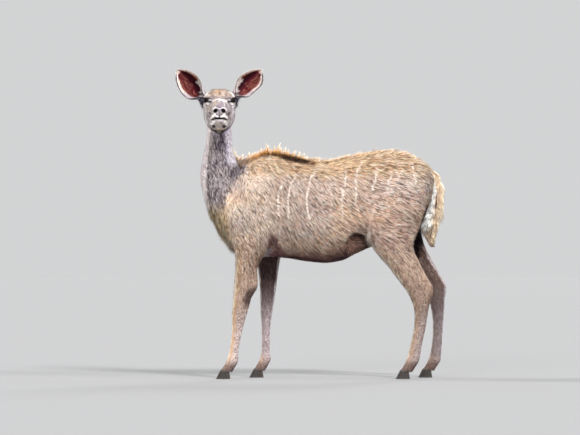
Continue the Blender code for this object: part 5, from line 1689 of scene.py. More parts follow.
def stretched(p, t, size=9.0, by=0.80):
    """Places drawn together along the lie of the coat, so that near ones form long clumps."""
    _, cell = np.unique(np.floor(p / size).astype(int), axis=0, return_inverse=True)
    cell = cell.reshape(-1)
    count = np.bincount(cell).astype(float)
    middle = np.stack([np.bincount(cell, p[:, k]) / count for k in range(3)], 1)[cell]
    run = unit(np.stack([np.bincount(cell, t[:, k]) for k in range(3)], 1))[cell]
    d = p - middle
    return middle + d - run * ((d * run).sum(1) * by)[:, None]


def tone_spread(p, flow, ticking_and_shade, n, share, by):
    """How light or dark each lock is, by clumps: dark locks, partly dark hair and partly painted shade between tufts,
    among middling and pale tufts.
    """
    lead = near_leaders(stretched(p, flow, by=by), share)
    dark, pale, low, high = ticking_and_shade
    g = rng.normal(size=n)
    patch = noise(p, 7.0, 11)
    pick = (rng.random(n) + 0.07 * patch)[lead]
    # the dark share of the clumps stands partly for painted shade between tufts
    clump = np.where(pick < dark, low, np.where(pick > 1 - pale, high, 0.92))
    return lead, clump * np.exp(0.16 * g[lead] + 0.14 * g + 0.08 * patch), np.where(pick < dark, 0.15, 0.0) + 0.8 * rng.normal(size=n)[lead]


def grow(s, mask, name, slot, kind, limits=None, ticking_and_shade=(0.27, 0.34, 0.04, 2.05), dark_root=0.46, split=None, share=0.42, by=0.60, curl=0.45, gain=1.23):
    """Covers the part of the skin given by mask with locks, as one piece or as several split by `split`."""
    sc = Scatter(s, s["density"] * mask)
    p, n, t = sc.of(s["p"]), unit(sc.of(s["n"])), unit(sc.of(s["flow"]))
    t = unit(t - n * (t * n).sum(1)[:, None])
    length, width, rise = sc.of(s["length"]), sc.of(s["width"]), sc.of(s["rise"])
    lead, tone, high = tone_spread(p, t, ticking_and_shade, sc.n, share, by)
    # Slow bends of the lie of the coat, then each hair's own.
    t = turned(t, n, 0.20 * noise(p, 8.0, 3) + 0.09 * noise(p, 2.4, 4) + rng.normal(size=sc.n) * 0.06)
    size = np.exp(0.20 * rng.normal(size=sc.n))
    length = length * size * (1 + 0.15 * noise(p, 3.0, 7))
    width = width * np.sqrt(size) * (0.85 + 0.3 * rng.random(sc.n))
    # each tuft lies above or beneath its neighbours as a whole
    rise = rise * (1 + 0.42 * high + 0.16 * rng.normal(size=sc.n)).clip(0.25, 2.2) + 0.10 * noise(p, 2.2, 8).clip(0, 1)
    # Locks lean towards the tip of their leader and so run together in points.
    own = p + t * length[:, None]
    across = p[lead] - p
    across = across - t * (across * t).sum(1)[:, None]
    pull = (0.45 + 0.35 * rng.random(sc.n)) * (np.linalg.norm(across, axis=1) < 1.2)
    way = own + across * pull[:, None] - p
    way = way - n * (way * n).sum(1)[:, None]
    length = np.linalg.norm(way, axis=1).clip(0.3 * length, 1.3 * length)
    t = unit(way)
    seen = p + t * (0.6 * length)[:, None] + n * 0.3
    base, extra = colour_of(s, sc, seen, kind)
    tone = np.where(extra > 0, 1 + (tone - 1) * (1 - 0.7 * extra), tone)
    tip = base * (tone * gain)[:, None]
    if kind == "trunk":
        tip = tip * np.array([1.125, 0.995, 0.95])
    # Dark locks are colder, light ones a little yellower.
    tip = tip * np.where(tone[:, None] < 0.8, np.array([0.99, 0.97, 1.03]), np.array([1.0, 0.98, 0.93]))
    root = base * dark_root * np.array([1.0, 0.93, 0.92])
    root = mix(root, tip, extra * 0.6)
    place = unwrap(p, kind, *(limits or (-58.0, 62.0)), **({"t": sc.of(s["t"]), "v": sc.of(s["v"]), "part": np.round(sc.of(s["part"])), "side": np.sign(sc.of(s["side"]))} if kind == "ear" else {}))
    batch = locks(p, n, t, length, width, rise, root, tip, levels=(0.0,), curl=curl)
    verts, tris, cols, uv = batch
    groups = split(p) if split else np.zeros(sc.n, int)
    for g in range(groups.max() + 1):
        on = groups == g
        where = place[on]
        if kind == "trunk":
            q = p[on]
            where = unwrap(q, kind, q[:, 0].min(), q[:, 0].max())
        coat_piece(name + ("_%d" % (g + 1) if split else ""), [(verts[on], tris, cols[on], uv, where)], slot)
    return sc.n


def colour_of(s, sc, seen, kind):
    """Colour of each lock where it is seen, and how much of it is a white marking."""
    none = np.zeros(len(seen))
    if kind == "ear":
        return ear_colour(np.round(sc.of(s["part"])), sc.of(s["t"]), sc.of(s["v"])), none
    if kind == "head":
        c = face_colour(seen)
        white = smoothstep(0.55, 0.8, c.min(1))
        return c, np.maximum(white, 0.4)
    c = body_colour(seen)
    if kind == "neck":
        return c, 0.9 * smoothstep(0.42, 0.66, c.min(1))
    white = stripe_share(seen) if kind == "trunk" else none
    return mix(c, WHITE, white * 0.50), white * 0.50


def on_skin(tree, x, z, side):
    """The point of the skin seen from one side at (x, z), in the body frame, with its normal."""
    hit = tree.ray_cast(Vector((x, side * 60.0, z)), Vector((0, -side, 0)))
    return (np.array(hit[0]), np.array(hit[1])) if hit[0] is not None else None


def grow_stripes(s, tree):
    """White locks laid over the coat along each stripe."""
    roots, normals, runs = [], [], []
    for side in (-1, 1):
        for k, line in enumerate(STRIPES):
            shift = 0.6 * ((k * 7) % 3 - 1) if side > 0 else 0.0
            line = [(x + shift, z) for x, z in line]
            span = [math.dist(a, b) for a, b in zip(line, line[1:])]
            total = sum(span)
            count = int(total * 13)
            for i in range(count):
                d = total * (i + rng.random()) / count
                share = d / total
                # broken and fainter at both ends
                if rng.random() > min(1.0, 4.0 * share + 0.35, 3.2 * (1 - share) + 0.25) * (0.55 + 0.45 * math.sin(d * 2.6 + 2.0 * math.sin(d * 0.9) + k)):
                    continue
                j = 0
                while d > span[j] and j < len(span) - 1:
                    d -= span[j]
                    j += 1
                (x0, z0), (x1, z1) = line[j], line[j + 1]
                w = d / span[j]
                bend = 0.22 * math.sin(share * 9 + k * 2) + 0.16 * math.sin(share * 31 + k) + rng.normal() * 0.27
                found = on_skin(tree, x0 + (x1 - x0) * w + bend - 0.4, z0 + (z1 - z0) * w + 0.7, side)
                if found is None:
                    continue
                roots.append(found[0])
                normals.append(found[1])
                runs.append(unit(np.array([(x1 - x0), 0.0, (z1 - z0)])))
    p, n, run = np.array(roots), np.array(normals), np.array(runs)
    t = unit(run + np.array([0.62, 0, 0]) + rng.normal(size=run.shape) * 0.14)
    t = unit(t - n * (t * n).sum(1)[:, None])
    count = len(p)
    length = 1.7 * np.exp(0.22 * rng.normal(size=count))
    tip = mix(np.tile(lin((255, 247, 240)), (count, 1)), lin((222, 198, 180)), rng.random(count) ** 0.9)
    return p + n * 0.50, n, t, length, np.full(count, 0.25), np.radians(15 + 7 * rng.random(count)), tip * 0.75, tip


# The crest seen from the side, as x in centimetres and the heights where dark hair ends, gold ends and the tips reach.
CREST_BANDS = np.array([
    (-47.5, 117.5, 118.6, 120.0), (-43.4, 118.5, 119.7, 121.6), (-39.0, 118.8, 120.3, 121.4), (-35.1, 119.7, 121.3, 122.9),
    (-32.2, 121.3, 122.8, 125.2), (-29.2, 121.9, 123.4, 126.6), (-27.0, 122.1, 123.4, 127.2), (-24.8, 122.0, 123.3, 126.6),
    (-21.6, 121.5, 122.8, 125.2), (-17.7, 120.1, 121.3, 123.8), (-14.0, 118.8, 119.9, 122.6), (-9.7, 117.1, 118.3, 119.6),
    (-5.9, 115.8, 116.8, 118.4), (-2.0, 114.6, 115.4, 117.6),
])


def gathered(x, tips, gap):
    """Splits roots along x into clumps of the given spacing: index of each root's clump and the clumps' places."""
    places = np.arange(x.min() - gap, x.max() + gap, gap)
    places = places + rng.normal(size=len(places)) * gap * 0.25
    own = x + rng.normal(size=len(x)) * gap * 0.35
    return np.abs(own[:, None] - places[None]).argmin(1), places


def on_top(tree, x, y):
    """Points of the skin straight below (x, y), with normals."""
    roots, normals = [], []
    for xi, yi in zip(x, y):
        hit = tree.ray_cast(Vector((xi, yi, 129.0)), Vector((0, 0, -1)))
        roots.append(hit[0])
        normals.append(hit[1])
    return np.array(roots), np.array(normals)


def grow_crest(tree):
    """The standing crest over the withers: black-brown at the root, orange, then white tips, gathered in spikes."""
    count = 4200
    x = -48.6 + 46.6 * (np.arange(count) + rng.random(count)) / count
    y = rng.normal(size=count) * np.interp(x, [-46, -36, -28, -8], [0.85, 0.9, 1.35, 1.2])
    p, n = on_top(tree, x, y)
    clump, places = gathered(x, None, 0.72)
    tall = np.interp(places, CREST_BANDS[:, 0], CREST_BANDS[:, 3])
    thick = np.interp(places, CREST_BANDS[:, 0], CREST_BANDS[:, 3] - CREST_BANDS[:, 2])
    reach = tall + 0.45 - thick * 1.25 * rng.random(len(places)) ** 1.5
    slope = np.interp(places, [-47, -38, -30, -24, -14, -5], [0.95, 0.35, 0.10, 0.16, 0.42, 0.9]) + 0.13 * rng.normal(size=len(places))
    base_z = np.interp(places, x, p[:, 2])
    tips = np.stack([places + slope * (reach - base_z), rng.normal(size=len(places)) * 0.9, reach], 1)
    tip = tips[clump] + rng.normal(size=(count, 3)) * np.array([0.20, 0.25, 0.30])
    # a share of the hairs stays short and fills the dark band below
    short = rng.random(count) < 0.42
    own = np.stack([x + slope[clump] * 2, y * 1.3, p[:, 2]], 1)
    own[:, 2] = np.interp(x, CREST_BANDS[:, 0], CREST_BANDS[:, 2]) - 0.3 + 0.5 * rng.normal(size=count)
    tip = np.where(short[:, None], own, tip)
    tip[:, 2] = np.maximum(tip[:, 2], p[:, 2] + 1.0)
    way = tip - p
    length = np.linalg.norm(way, axis=1)
    way = way / length[:, None]
    grey = np.exp(0.50 * rng.normal(size=count))[:, None]
    ragged = 0.80 * rng.normal(size=count)
    dark = np.stack([np.interp(x, [-47, -38, -30, -22, -2], [c0, c1, c2, c3, c4]) for c0, c1, c2, c3, c4 in zip(
        lin((150, 132, 122)), lin((150, 118, 92)), lin((84, 56, 40)), lin((18, 10, 9)), lin((22, 13, 11)))], 1)
    gold, pale = lin((226, 166, 88)), lin((228, 213, 194))
    greyer = smoothstep(-36.0, -43.0, x)

    def tones(s, c):
        z1, z2 = (np.interp(c[:, 0], CREST_BANDS[:, 0], CREST_BANDS[:, k]) + ragged for k in (1, 2))
        out = mix(dark * grey, mix(gold * (0.6 + 0.4 * grey), lin((206, 180, 156)) * grey, greyer), smoothstep(z1 - 0.7, z1 + 0.2, c[:, 2]))
        return mix(out, pale, smoothstep(z2 - 0.5, z2 + 0.5, c[:, 2]))

    side = unit(np.cross(np.array([[0.0, 1.0, 0.0]]), way))
    return p, side, way, length, np.full(count, 0.22), tones


def grow_back(tree):
    """Raised locks along the spine behind the crest: brown at the root, gold, then white tips."""
    count = 3600
    x = -9.0 + 66.0 * (np.arange(count) + rng.random(count)) / count
    y = rng.normal(size=count) * 2.6
    p, n = on_top(tree, x, y)
    clump, places = gathered(x, None, 0.95)
    tuft = (clump * 9 + np.floor(y / 1.15 + 0.5 * np.sin(clump * 2.3)).astype(int) + 4) % 997
    wild = rng.normal(size=(997, 4))[tuft]
    rise = np.radians(np.interp(x, [-9, 0, 20, 38, 46, 57], [36, 32, 30, 30, 20, 10])) * (1 + 0.42 * wild[:, 0]).clip(0.35, 1.9)
    length = 3.6 * np.interp(x, [38, 46, 57], [1.0, 0.8, 0.6]) * np.exp(0.16 * wild[:, 1]) * np.exp(0.12 * rng.normal(size=count))
    t = np.stack([np.ones(count), 0.06 * y + 0.14 * wild[:, 2], np.zeros(count)], 1)
    t = unit(t - n * (t * n).sum(1)[:, None])
    shade = np.exp(0.52 * wild[:, 3] - 0.20).clip(0.22, 1.35)[:, None] * np.exp(0.16 * rng.normal(size=count))[:, None]
    brown, gold, pale = lin((58, 42, 36)), lin((190, 146, 100)), lin((240, 224, 204))

    def tones(s):
        c = mix(np.tile(brown, (count, 1)), gold, np.full(count, float(smoothstep(0.05, 0.40, s))))
        return mix(c, pale, np.full(count, float(smoothstep(0.50, 0.90, s)))) * shade

    return p, n, t, length, np.full(count, 0.26), rise, tones


def ear_extras(side):
    """Long pale hair in the ear: a fringe down its lower rim and round the tip, a bundle by the crown-side rim, a tuft at the root."""
    grid = ear_sheet(side)[0]
    du, dv = unit(np.gradient(grid, axis=0)), unit(np.gradient(grid, axis=1))
    normal = unit(np.cross(du, dv))
    back = ear_sheet(side)[3]
    normal = normal * np.sign(np.einsum("ijk,k->ij", normal, -back)[EAR_STEPS // 2, EAR_ACROSS // 2])
    out = []
    sets = (
        # count, t from, t to, v from, v to, along, across, rise, length, width, tones
        (330, 0.48, 0.95, -0.97, -0.66, 0.85, 0.30, 13, 1.5, 0.20, (lin((244, 222, 214)), lin((254, 246, 242)), lin((196, 156, 148)))),
        (260, 0.05, 0.50, -0.97, -0.58, 0.85, 0.30, 13, 1.5, 0.20, (lin((184, 174, 182)), lin((206, 198, 202)), lin((128, 118, 130)))),
        (90, 0.93, 0.98, -0.8, 0.2, 0.60, -0.30, 12, 0.9, 0.16, (lin((240, 214, 206)), lin((252, 242, 238)), lin((206, 158, 142)))),
        (380, 0.24, 0.96, 0.82, 1.0, 0.85, 0.40, 10, 0.9, 0.18, (lin((208, 192, 182)), lin((232, 220, 212)), lin((156, 136, 124)))),
        (360, 0.05, 0.47, 0.52, 0.88, 0.80, -0.55, 18, 2.6, 0.20, (lin((224, 214, 208)), lin((242, 234, 228)), lin((164, 150, 142)))),
        (260, 0.0, 0.30, 0.80, 1.0, 0.95, 0.12, 20, 1.9, 0.22, (lin((62, 56, 68)), lin((84, 78, 90)), lin((130, 124, 134)))),
        (120, 0.06, 0.26, 0.15, 0.62, 0.85, -0.35, 20, 2.0, 0.20, (lin((224, 214, 208)), lin((242, 234, 228)), lin((164, 150, 142)))),
        (110, 0.02, 0.14, -0.9, 0.7, 0.95, 0.0, 38, 2.2, 0.22, (lin((232, 218, 214)), lin((60, 46, 52)), lin((204, 188, 186)))),
        (170, 0.24, 0.82, -0.56, 0.20, 0.95, -0.16, 8, 2.2, 0.13, (lin((160, 100, 84)), lin((120, 62, 58)), lin((206, 150, 126)))),
        (600, 0.42, 0.95, -1.0, -0.955, 0.90, -0.22, 5, 1.2, 0.30, (lin((26, 19, 26)), lin((40, 31, 38)), lin((72, 60, 66)))),
        (120, 0.10, 0.52, 0.90, 0.96, 1.0, 0.0, 7, 1.8, 0.20, (lin((40, 31, 38)), lin((30, 24, 30)), lin((66, 54, 60)))),
        (90, 0.93, 0.985, -0.8, 0.5, 0.8, -0.1, -6, 0.7, 0.16, (lin((40, 31, 38)), lin((66, 54, 56)), lin((104, 92, 88)))),
    )
    for count, t0, t1, v0, v1, go, cross, rise, length, width, tones in sets:
        t, v = t0 + (t1 - t0) * rng.random(count), v0 + (v1 - v0) * rng.random(count)
        i = np.clip((t * (EAR_STEPS - 1)).round().astype(int), 0, EAR_STEPS - 1)
        j = np.clip(((v * 0.5 + 0.5) * (EAR_ACROSS - 1)).round().astype(int), 0, EAR_ACROSS - 1)
        n = normal[i, j] * np.sign(rise)
        rise = abs(rise)
        p = grid[i, j] + n * 0.12
        run = du[i, j] * go + dv[i, j] * (cross * (1 + 0.5 * rng.normal(size=count)))[:, None] + rng.normal(size=(count, 3)) * 0.10
        run = unit(run - n * (run * n).sum(1)[:, None])
        size = length * np.exp(0.25 * rng.normal(size=count)) * np.where(t > 0.9, 0.8, 1.0)
        pick = rng.choice(3, count, p=[0.5, 0.3, 0.2])
        tip = np.array(tones)[pick] * np.exp(0.12 * rng.normal(size=count))[:, None]
        batch = locks(p, n, run, size, np.full(count, width), np.radians(rise) * (0.6 + 0.8 * rng.random(count)), tip * 0.55, tip)
        place = unwrap(p, "ear", t=t, v=v, part=np.ones(count), side=np.full(count, side))
        out.append((*batch, place))
    return out


def root_tuft(side):
    """Dark grey hair hanging from the underside of the ear's root over the side of the head, standing also for painted
    shade under the ear.
    """
    grid = ear_sheet(side)[0]
    count = 420
    share, v = rng.random(count) ** 1.5 * 0.155, -1.0 + 0.75 * rng.random(count)
    i = np.clip((share * (EAR_STEPS - 1)).round().astype(int), 0, EAR_STEPS - 1)
    j = np.clip(((v * 0.5 + 0.5) * (EAR_ACROSS - 1)).round().astype(int), 0, EAR_ACROSS - 1)
    p = grid[i, j] + rng.normal(size=(count, 3)) * 0.12
    t = unit(np.stack([side * (0.10 + 0.22 * rng.normal(size=count)), -0.15 + 0.20 * rng.normal(size=count), np.full(count, -1.0)], 1))
    n = np.tile(np.array([side * 0.8, -0.6, 0.0]), (count, 1))
    n = unit(n - t * (n * t).sum(1)[:, None])
    tone = mix(np.tile(lin((62, 56, 68)), (count, 1)), lin((122, 116, 128)), (rng.random(count) < 0.40) * 0.8)
    length = np.interp(share, [0.0, 0.08, 0.155], [3.8, 3.0, 1.4]) * np.exp(0.18 * rng.normal(size=count))
    batch = locks(p, n, t, length, np.full(count, 0.24), np.radians(12.0 * rng.random(count)), tone * 0.6, tone)
    return (*batch, unwrap(p, "ear", t=share, v=v, part=np.full(count, 2), side=np.full(count, side)))


def lashes(side):
    """Dark lashes along the upper lid."""
    centre, axis, nose, up = eye_frame(side)
    count = 90
    theta = math.radians(18) + math.radians(150) * (np.arange(count) + 0.5 * rng.random(count)) / count
    x, y = lid_outline(theta)
    x, y = x * 1.08, y * 1.08
    base = np.sqrt(np.maximum(EYE_RADIUS**2 - np.minimum(x**2 + y**2, 0.93 * EYE_RADIUS**2), 0.0))
    p = centre + axis * (base + 0.26)[:, None] + nose * x[:, None] + up * y[:, None]
    t = unit(axis * 0.9 + nose * (x * 0.25)[:, None] + up * (-0.25 + 0.3 * rng.random(count))[:, None])
    n = unit(np.tile(up, (count, 1)) - t * (t @ up)[:, None])
    tip = np.tile(lin((26, 20, 22)), (count, 1))
    batch = locks(p, n, t, 0.85 * np.exp(0.2 * rng.normal(size=count)), np.full(count, 0.075), np.radians(np.full(count, 12.0)), tip, tip)
    return (*batch, unwrap(p, "head"))


def straight_locks(p, n, way, length, width, tones, levels=(0.0, 0.24, 0.42, 0.58, 0.78), droop=0.0):
    """Locks that leave the skin along `way` instead of lying on it."""
    count = len(p)
    side = unit(np.cross(n, way))
    face = unit(np.cross(way, side))
    verts, cols, uv = [], [], []
    for k, s in enumerate(levels):
        c = p + way * (length * s - (0.3 if k == 0 else 0))[:, None] - np.array([0, 0, 1.0]) * (droop * length * s * s)[:, None]
        w = width * (1.0 - 0.75 * s**1.6)
        verts += [c - side * (w / 2)[:, None], c + side * (w / 2)[:, None], c + face * (w * 0.45)[:, None]]
        tone = tones(s, c)
        cols += [tone * 0.94, tone * 0.94, tone]
        uv += [(-0.5, s), (0.5, s), (0.0, s + 0.02)]
    verts.append(p + way * length[:, None] - np.array([0, 0, 1.0]) * (droop * length)[:, None])
    cols.append(tones(1.0, verts[-1]))
    uv.append((0.0, 1.0))
    tris = [(0, 2, 1)]
    m = len(levels)
    for k in range(m - 1):
        a, b = 3 * k, 3 * k + 3
        for i, j in ((0, 1), (1, 2), (2, 0)):
            tris += [(a + i, a + j, b + j), (a + i, b + j, b + i)]
    a, tip = 3 * (m - 1), 3 * m
    tris += [(a, a + 1, tip), (a + 1, a + 2, tip), (a + 2, a, tip)]
    return np.stack(verts, 1), np.array(tris), np.stack(cols, 1), np.array(uv)


def tail_line(z):
    rows = np.array(TAIL)[::-1]
    return (
        np.interp(z, rows[:, 0], rows[:, 1]),
        np.interp(z, rows[:, 0], rows[:, 2]),
        np.interp(z, rows[:, 0], rows[:, 4]),
    )


def grow_tail():
    """Long hair down the tail: white towards the legs, gold-tan outside."""
    count = 5200
    z = 112.5 - 38.0 * ((np.arange(count) + rng.random(count)) / count) ** 0.95
    front, back, half = tail_line(z)
    a = 2 * math.pi * rng.random(count)
    core = 0.50
    cx, hx = (front + back) / 2 - 0.3, (back - front) / 2 * core
    p = np.stack([cx + np.cos(a) * hx, np.sin(a) * half * core, z], 1)
    n = unit(np.stack([np.cos(a) / np.maximum(hx, 0.3), np.sin(a) / np.maximum(half * core, 0.3), np.zeros(count)], 1))
    # where the tip should come to lie: on the tail's outline further down, in pointed clumps
    length = np.interp(z, [72, 80, 95, 112], [4.5, 7.5, 7.0, 4.0]) * (0.75 + 0.4 * rng.random(count))
    zt = np.maximum(z - length * 0.93, 70.6)
    f2, b2, h2 = tail_line(zt)
    seat = np.floor(a / (2 * math.pi) * 12).astype(int) * 15 + np.floor((112.5 - z) / 38.1 * 15).astype(int)
    wild = rng.normal(size=(220, 3))
    reach = 0.78 + 0.20 * np.sqrt(rng.random(count)) + 0.06 * wild[seat % 220, 0]
    a2 = a + 0.09 * rng.normal(size=count) + 0.12 * wild[seat % 220, 1]
    tip = np.stack([(f2 + b2) / 2 + np.cos(a2) * (b2 - f2) / 2 * reach, np.sin(a2) * h2 * reach, zt + 0.8 * wild[seat % 220, 2]], 1)
    tip[:, 2] = np.maximum(tip[:, 2], 70.6)
    # at the outer edge the tips stand off backwards
    outward = smoothstep(0.3, 0.9, np.cos(a)) * smoothstep(74, 98, z)
    tip[:, 0] += outward * (0.55 * np.abs(wild[seat % 220, 0]) - 0.5)
    way = tip - p
    length = np.linalg.norm(way, axis=1)
    way = way / length[:, None]
    white = smoothstep(-0.06, -0.20, np.cos(a) + 0.05 * rng.normal(size=count)) * smoothstep(111, 106, z) * smoothstep(77.0, 80.0, zt + 0.8 * rng.normal(size=count))
    gold = lin((250, 234, 212))
    tan = lin((216, 184, 150))
    # streaks of one colour run down the tail
    run = np.floor(a / (2 * math.pi) * 34 + 0.6 * np.sin(z / 5.0)).astype(int) % 34
    streak = rng.random((34, 2))[run]
    outside = mix(np.tile(tan, (count, 1)), gold, 0.75 * streak[:, 0] + 0.25 * rng.random(count))
    seam = np.exp(-(((np.cos(a) - 0.04) / 0.11) ** 2)) * smoothstep(108, 100, z)
    dark_hair = rng.random(count) < 0.06 + 0.62 * (streak[:, 1] < 0.26) + 0.55 * seam
    outside = np.where(dark_hair[:, None], lin((116, 80, 60)), outside)
    outside = mix(outside, lin((255, 242, 220)), 0.75 * smoothstep(0.62, 0.86, np.cos(a)) * (rng.random(count) < 0.7))
    tip_tone = mix(outside, np.array([1.0, 0.99, 0.96]), white)
    # towards its end the front of the tail is browner
    black = smoothstep(81.5, 78.5, zt) * smoothstep(0.35, -0.15, np.cos(a)) * (rng.random(count) < 0.5)
    tip_tone = mix(tip_tone, lin((120, 96, 80)), black * 0.6)
    tip_tone = tip_tone * np.exp((0.16 - 0.14 * white) * rng.normal(size=count))[:, None]
    root_tone = tip_tone * mix(np.full((count, 3), 0.70), np.full(3, 1.0), white)
    tones = lambda s, c: mix(root_tone, tip_tone, np.full(count, min(1.0, 0.1 + 1.5 * s)))
    batch = straight_locks(p, n, way, length, np.full(count, 0.34), tones, levels=(0.0, 0.35, 0.7))
    place = np.stack([a / (2 * math.pi) * 0.48, (z - 70) / 46], 1)
    return (*batch, place)


# ---------------------------------------------------------------- materials
def coat_material(name, rough, bump_scale, bump_depth, noise_scale, spread, sheen=0.0, specular=0.28, stretch=(1, 1, 1)):
    """Colour from the mesh's own tones, broken up by fine noise, with a bump of short hair."""
    mat = bpy.data.materials.new(name)
    mat.use_nodes = True
    nodes, links = mat.node_tree.nodes, mat.node_tree.links
    shader = nodes["Principled BSDF"]
    tone = nodes.new("ShaderNodeAttribute")
    tone.attribute_name = "tone"
    place = nodes.new("ShaderNodeTexCoord")
    mapping = nodes.new("ShaderNodeMapping")
    mapping.inputs["Scale"].default_value = stretch
    links.new(place.outputs["Object"], mapping.inputs["Vector"])
    grain = nodes.new("ShaderNodeTexNoise")
    grain.inputs["Scale"].default_value = noise_scale
    grain.inputs["Detail"].default_value = 3.0
    links.new(mapping.outputs["Vector"], grain.inputs["Vector"])
    ramp = nodes.new("ShaderNodeMapRange")
    ramp.inputs["From Min"].default_value = 0.3
    ramp.inputs["From Max"].default_value = 0.7
    ramp.inputs["To Min"].default_value = 1.0 - spread
    ramp.inputs["To Max"].default_value = 1.0 + spread
    links.new(grain.outputs["Fac"], ramp.inputs["Value"])
    scale = nodes.new("ShaderNodeVectorMath")
    scale.operation = "SCALE"
    links.new(tone.outputs["Color"], scale.inputs["Vector"])
    links.new(ramp.outputs["Result"], scale.inputs["Scale"])
    links.new(scale.outputs["Vector"], shader.inputs["Base Color"])
    rough_map = nodes.new("ShaderNodeMapRange")
    rough_map.inputs["To Min"].default_value = rough - 0.08
    rough_map.inputs["To Max"].default_value = rough + 0.08
    links.new(grain.outputs["Fac"], rough_map.inputs["Value"])
    links.new(rough_map.outputs["Result"], shader.inputs["Roughness"])
    shader.inputs["Specular IOR Level"].default_value = specular
    if sheen:
        shader.inputs["Sheen Weight"].default_value = sheen
        shader.inputs["Sheen Roughness"].default_value = 0.4
    if bump_depth:
        hair = nodes.new("ShaderNodeTexNoise")
        hair.inputs["Scale"].default_value = bump_scale
        hair.inputs["Detail"].default_value = 2.0
        links.new(mapping.outputs["Vector"], hair.inputs["Vector"])
        bump = nodes.new("ShaderNodeBump")
        bump.inputs["Distance"].default_value = bump_depth
        bump.inputs["Strength"].default_value = 0.8
        links.new(hair.outputs["Fac"], bump.inputs["Height"])
        links.new(bump.outputs["Normal"], shader.inputs["Normal"])
    return mat


HAIR = coat_material("coat_hair", 0.66, 0, 0, 160.0, 0.16, sheen=0.0, specular=0.05)
SKIN = coat_material("skin_short_hair", 0.72, 420.0, 0.0012, 120.0, 0.18, specular=0.07, stretch=(1.0, 1.0, 0.45))
HORN = coat_material("hoof_horn", 0.42, 90.0, 0.0006, 60.0, 0.20, specular=0.12, stretch=(1.0, 1.0, 5.0))
LID = coat_material("lid_skin", 0.42, 500.0, 0.0003, 200.0, 0.15, specular=0.06)
EYE_MAT = coat_material("eye_wet", 0.14, 0, 0, 300.0, 0.12, specular=0.05)
EYE_MAT.node_tree.nodes["Principled BSDF"].inputs["Coat Weight"].default_value = 0.06
EYE_MAT.node_tree.nodes["Principled BSDF"].inputs["Coat Roughness"].default_value = 0.03


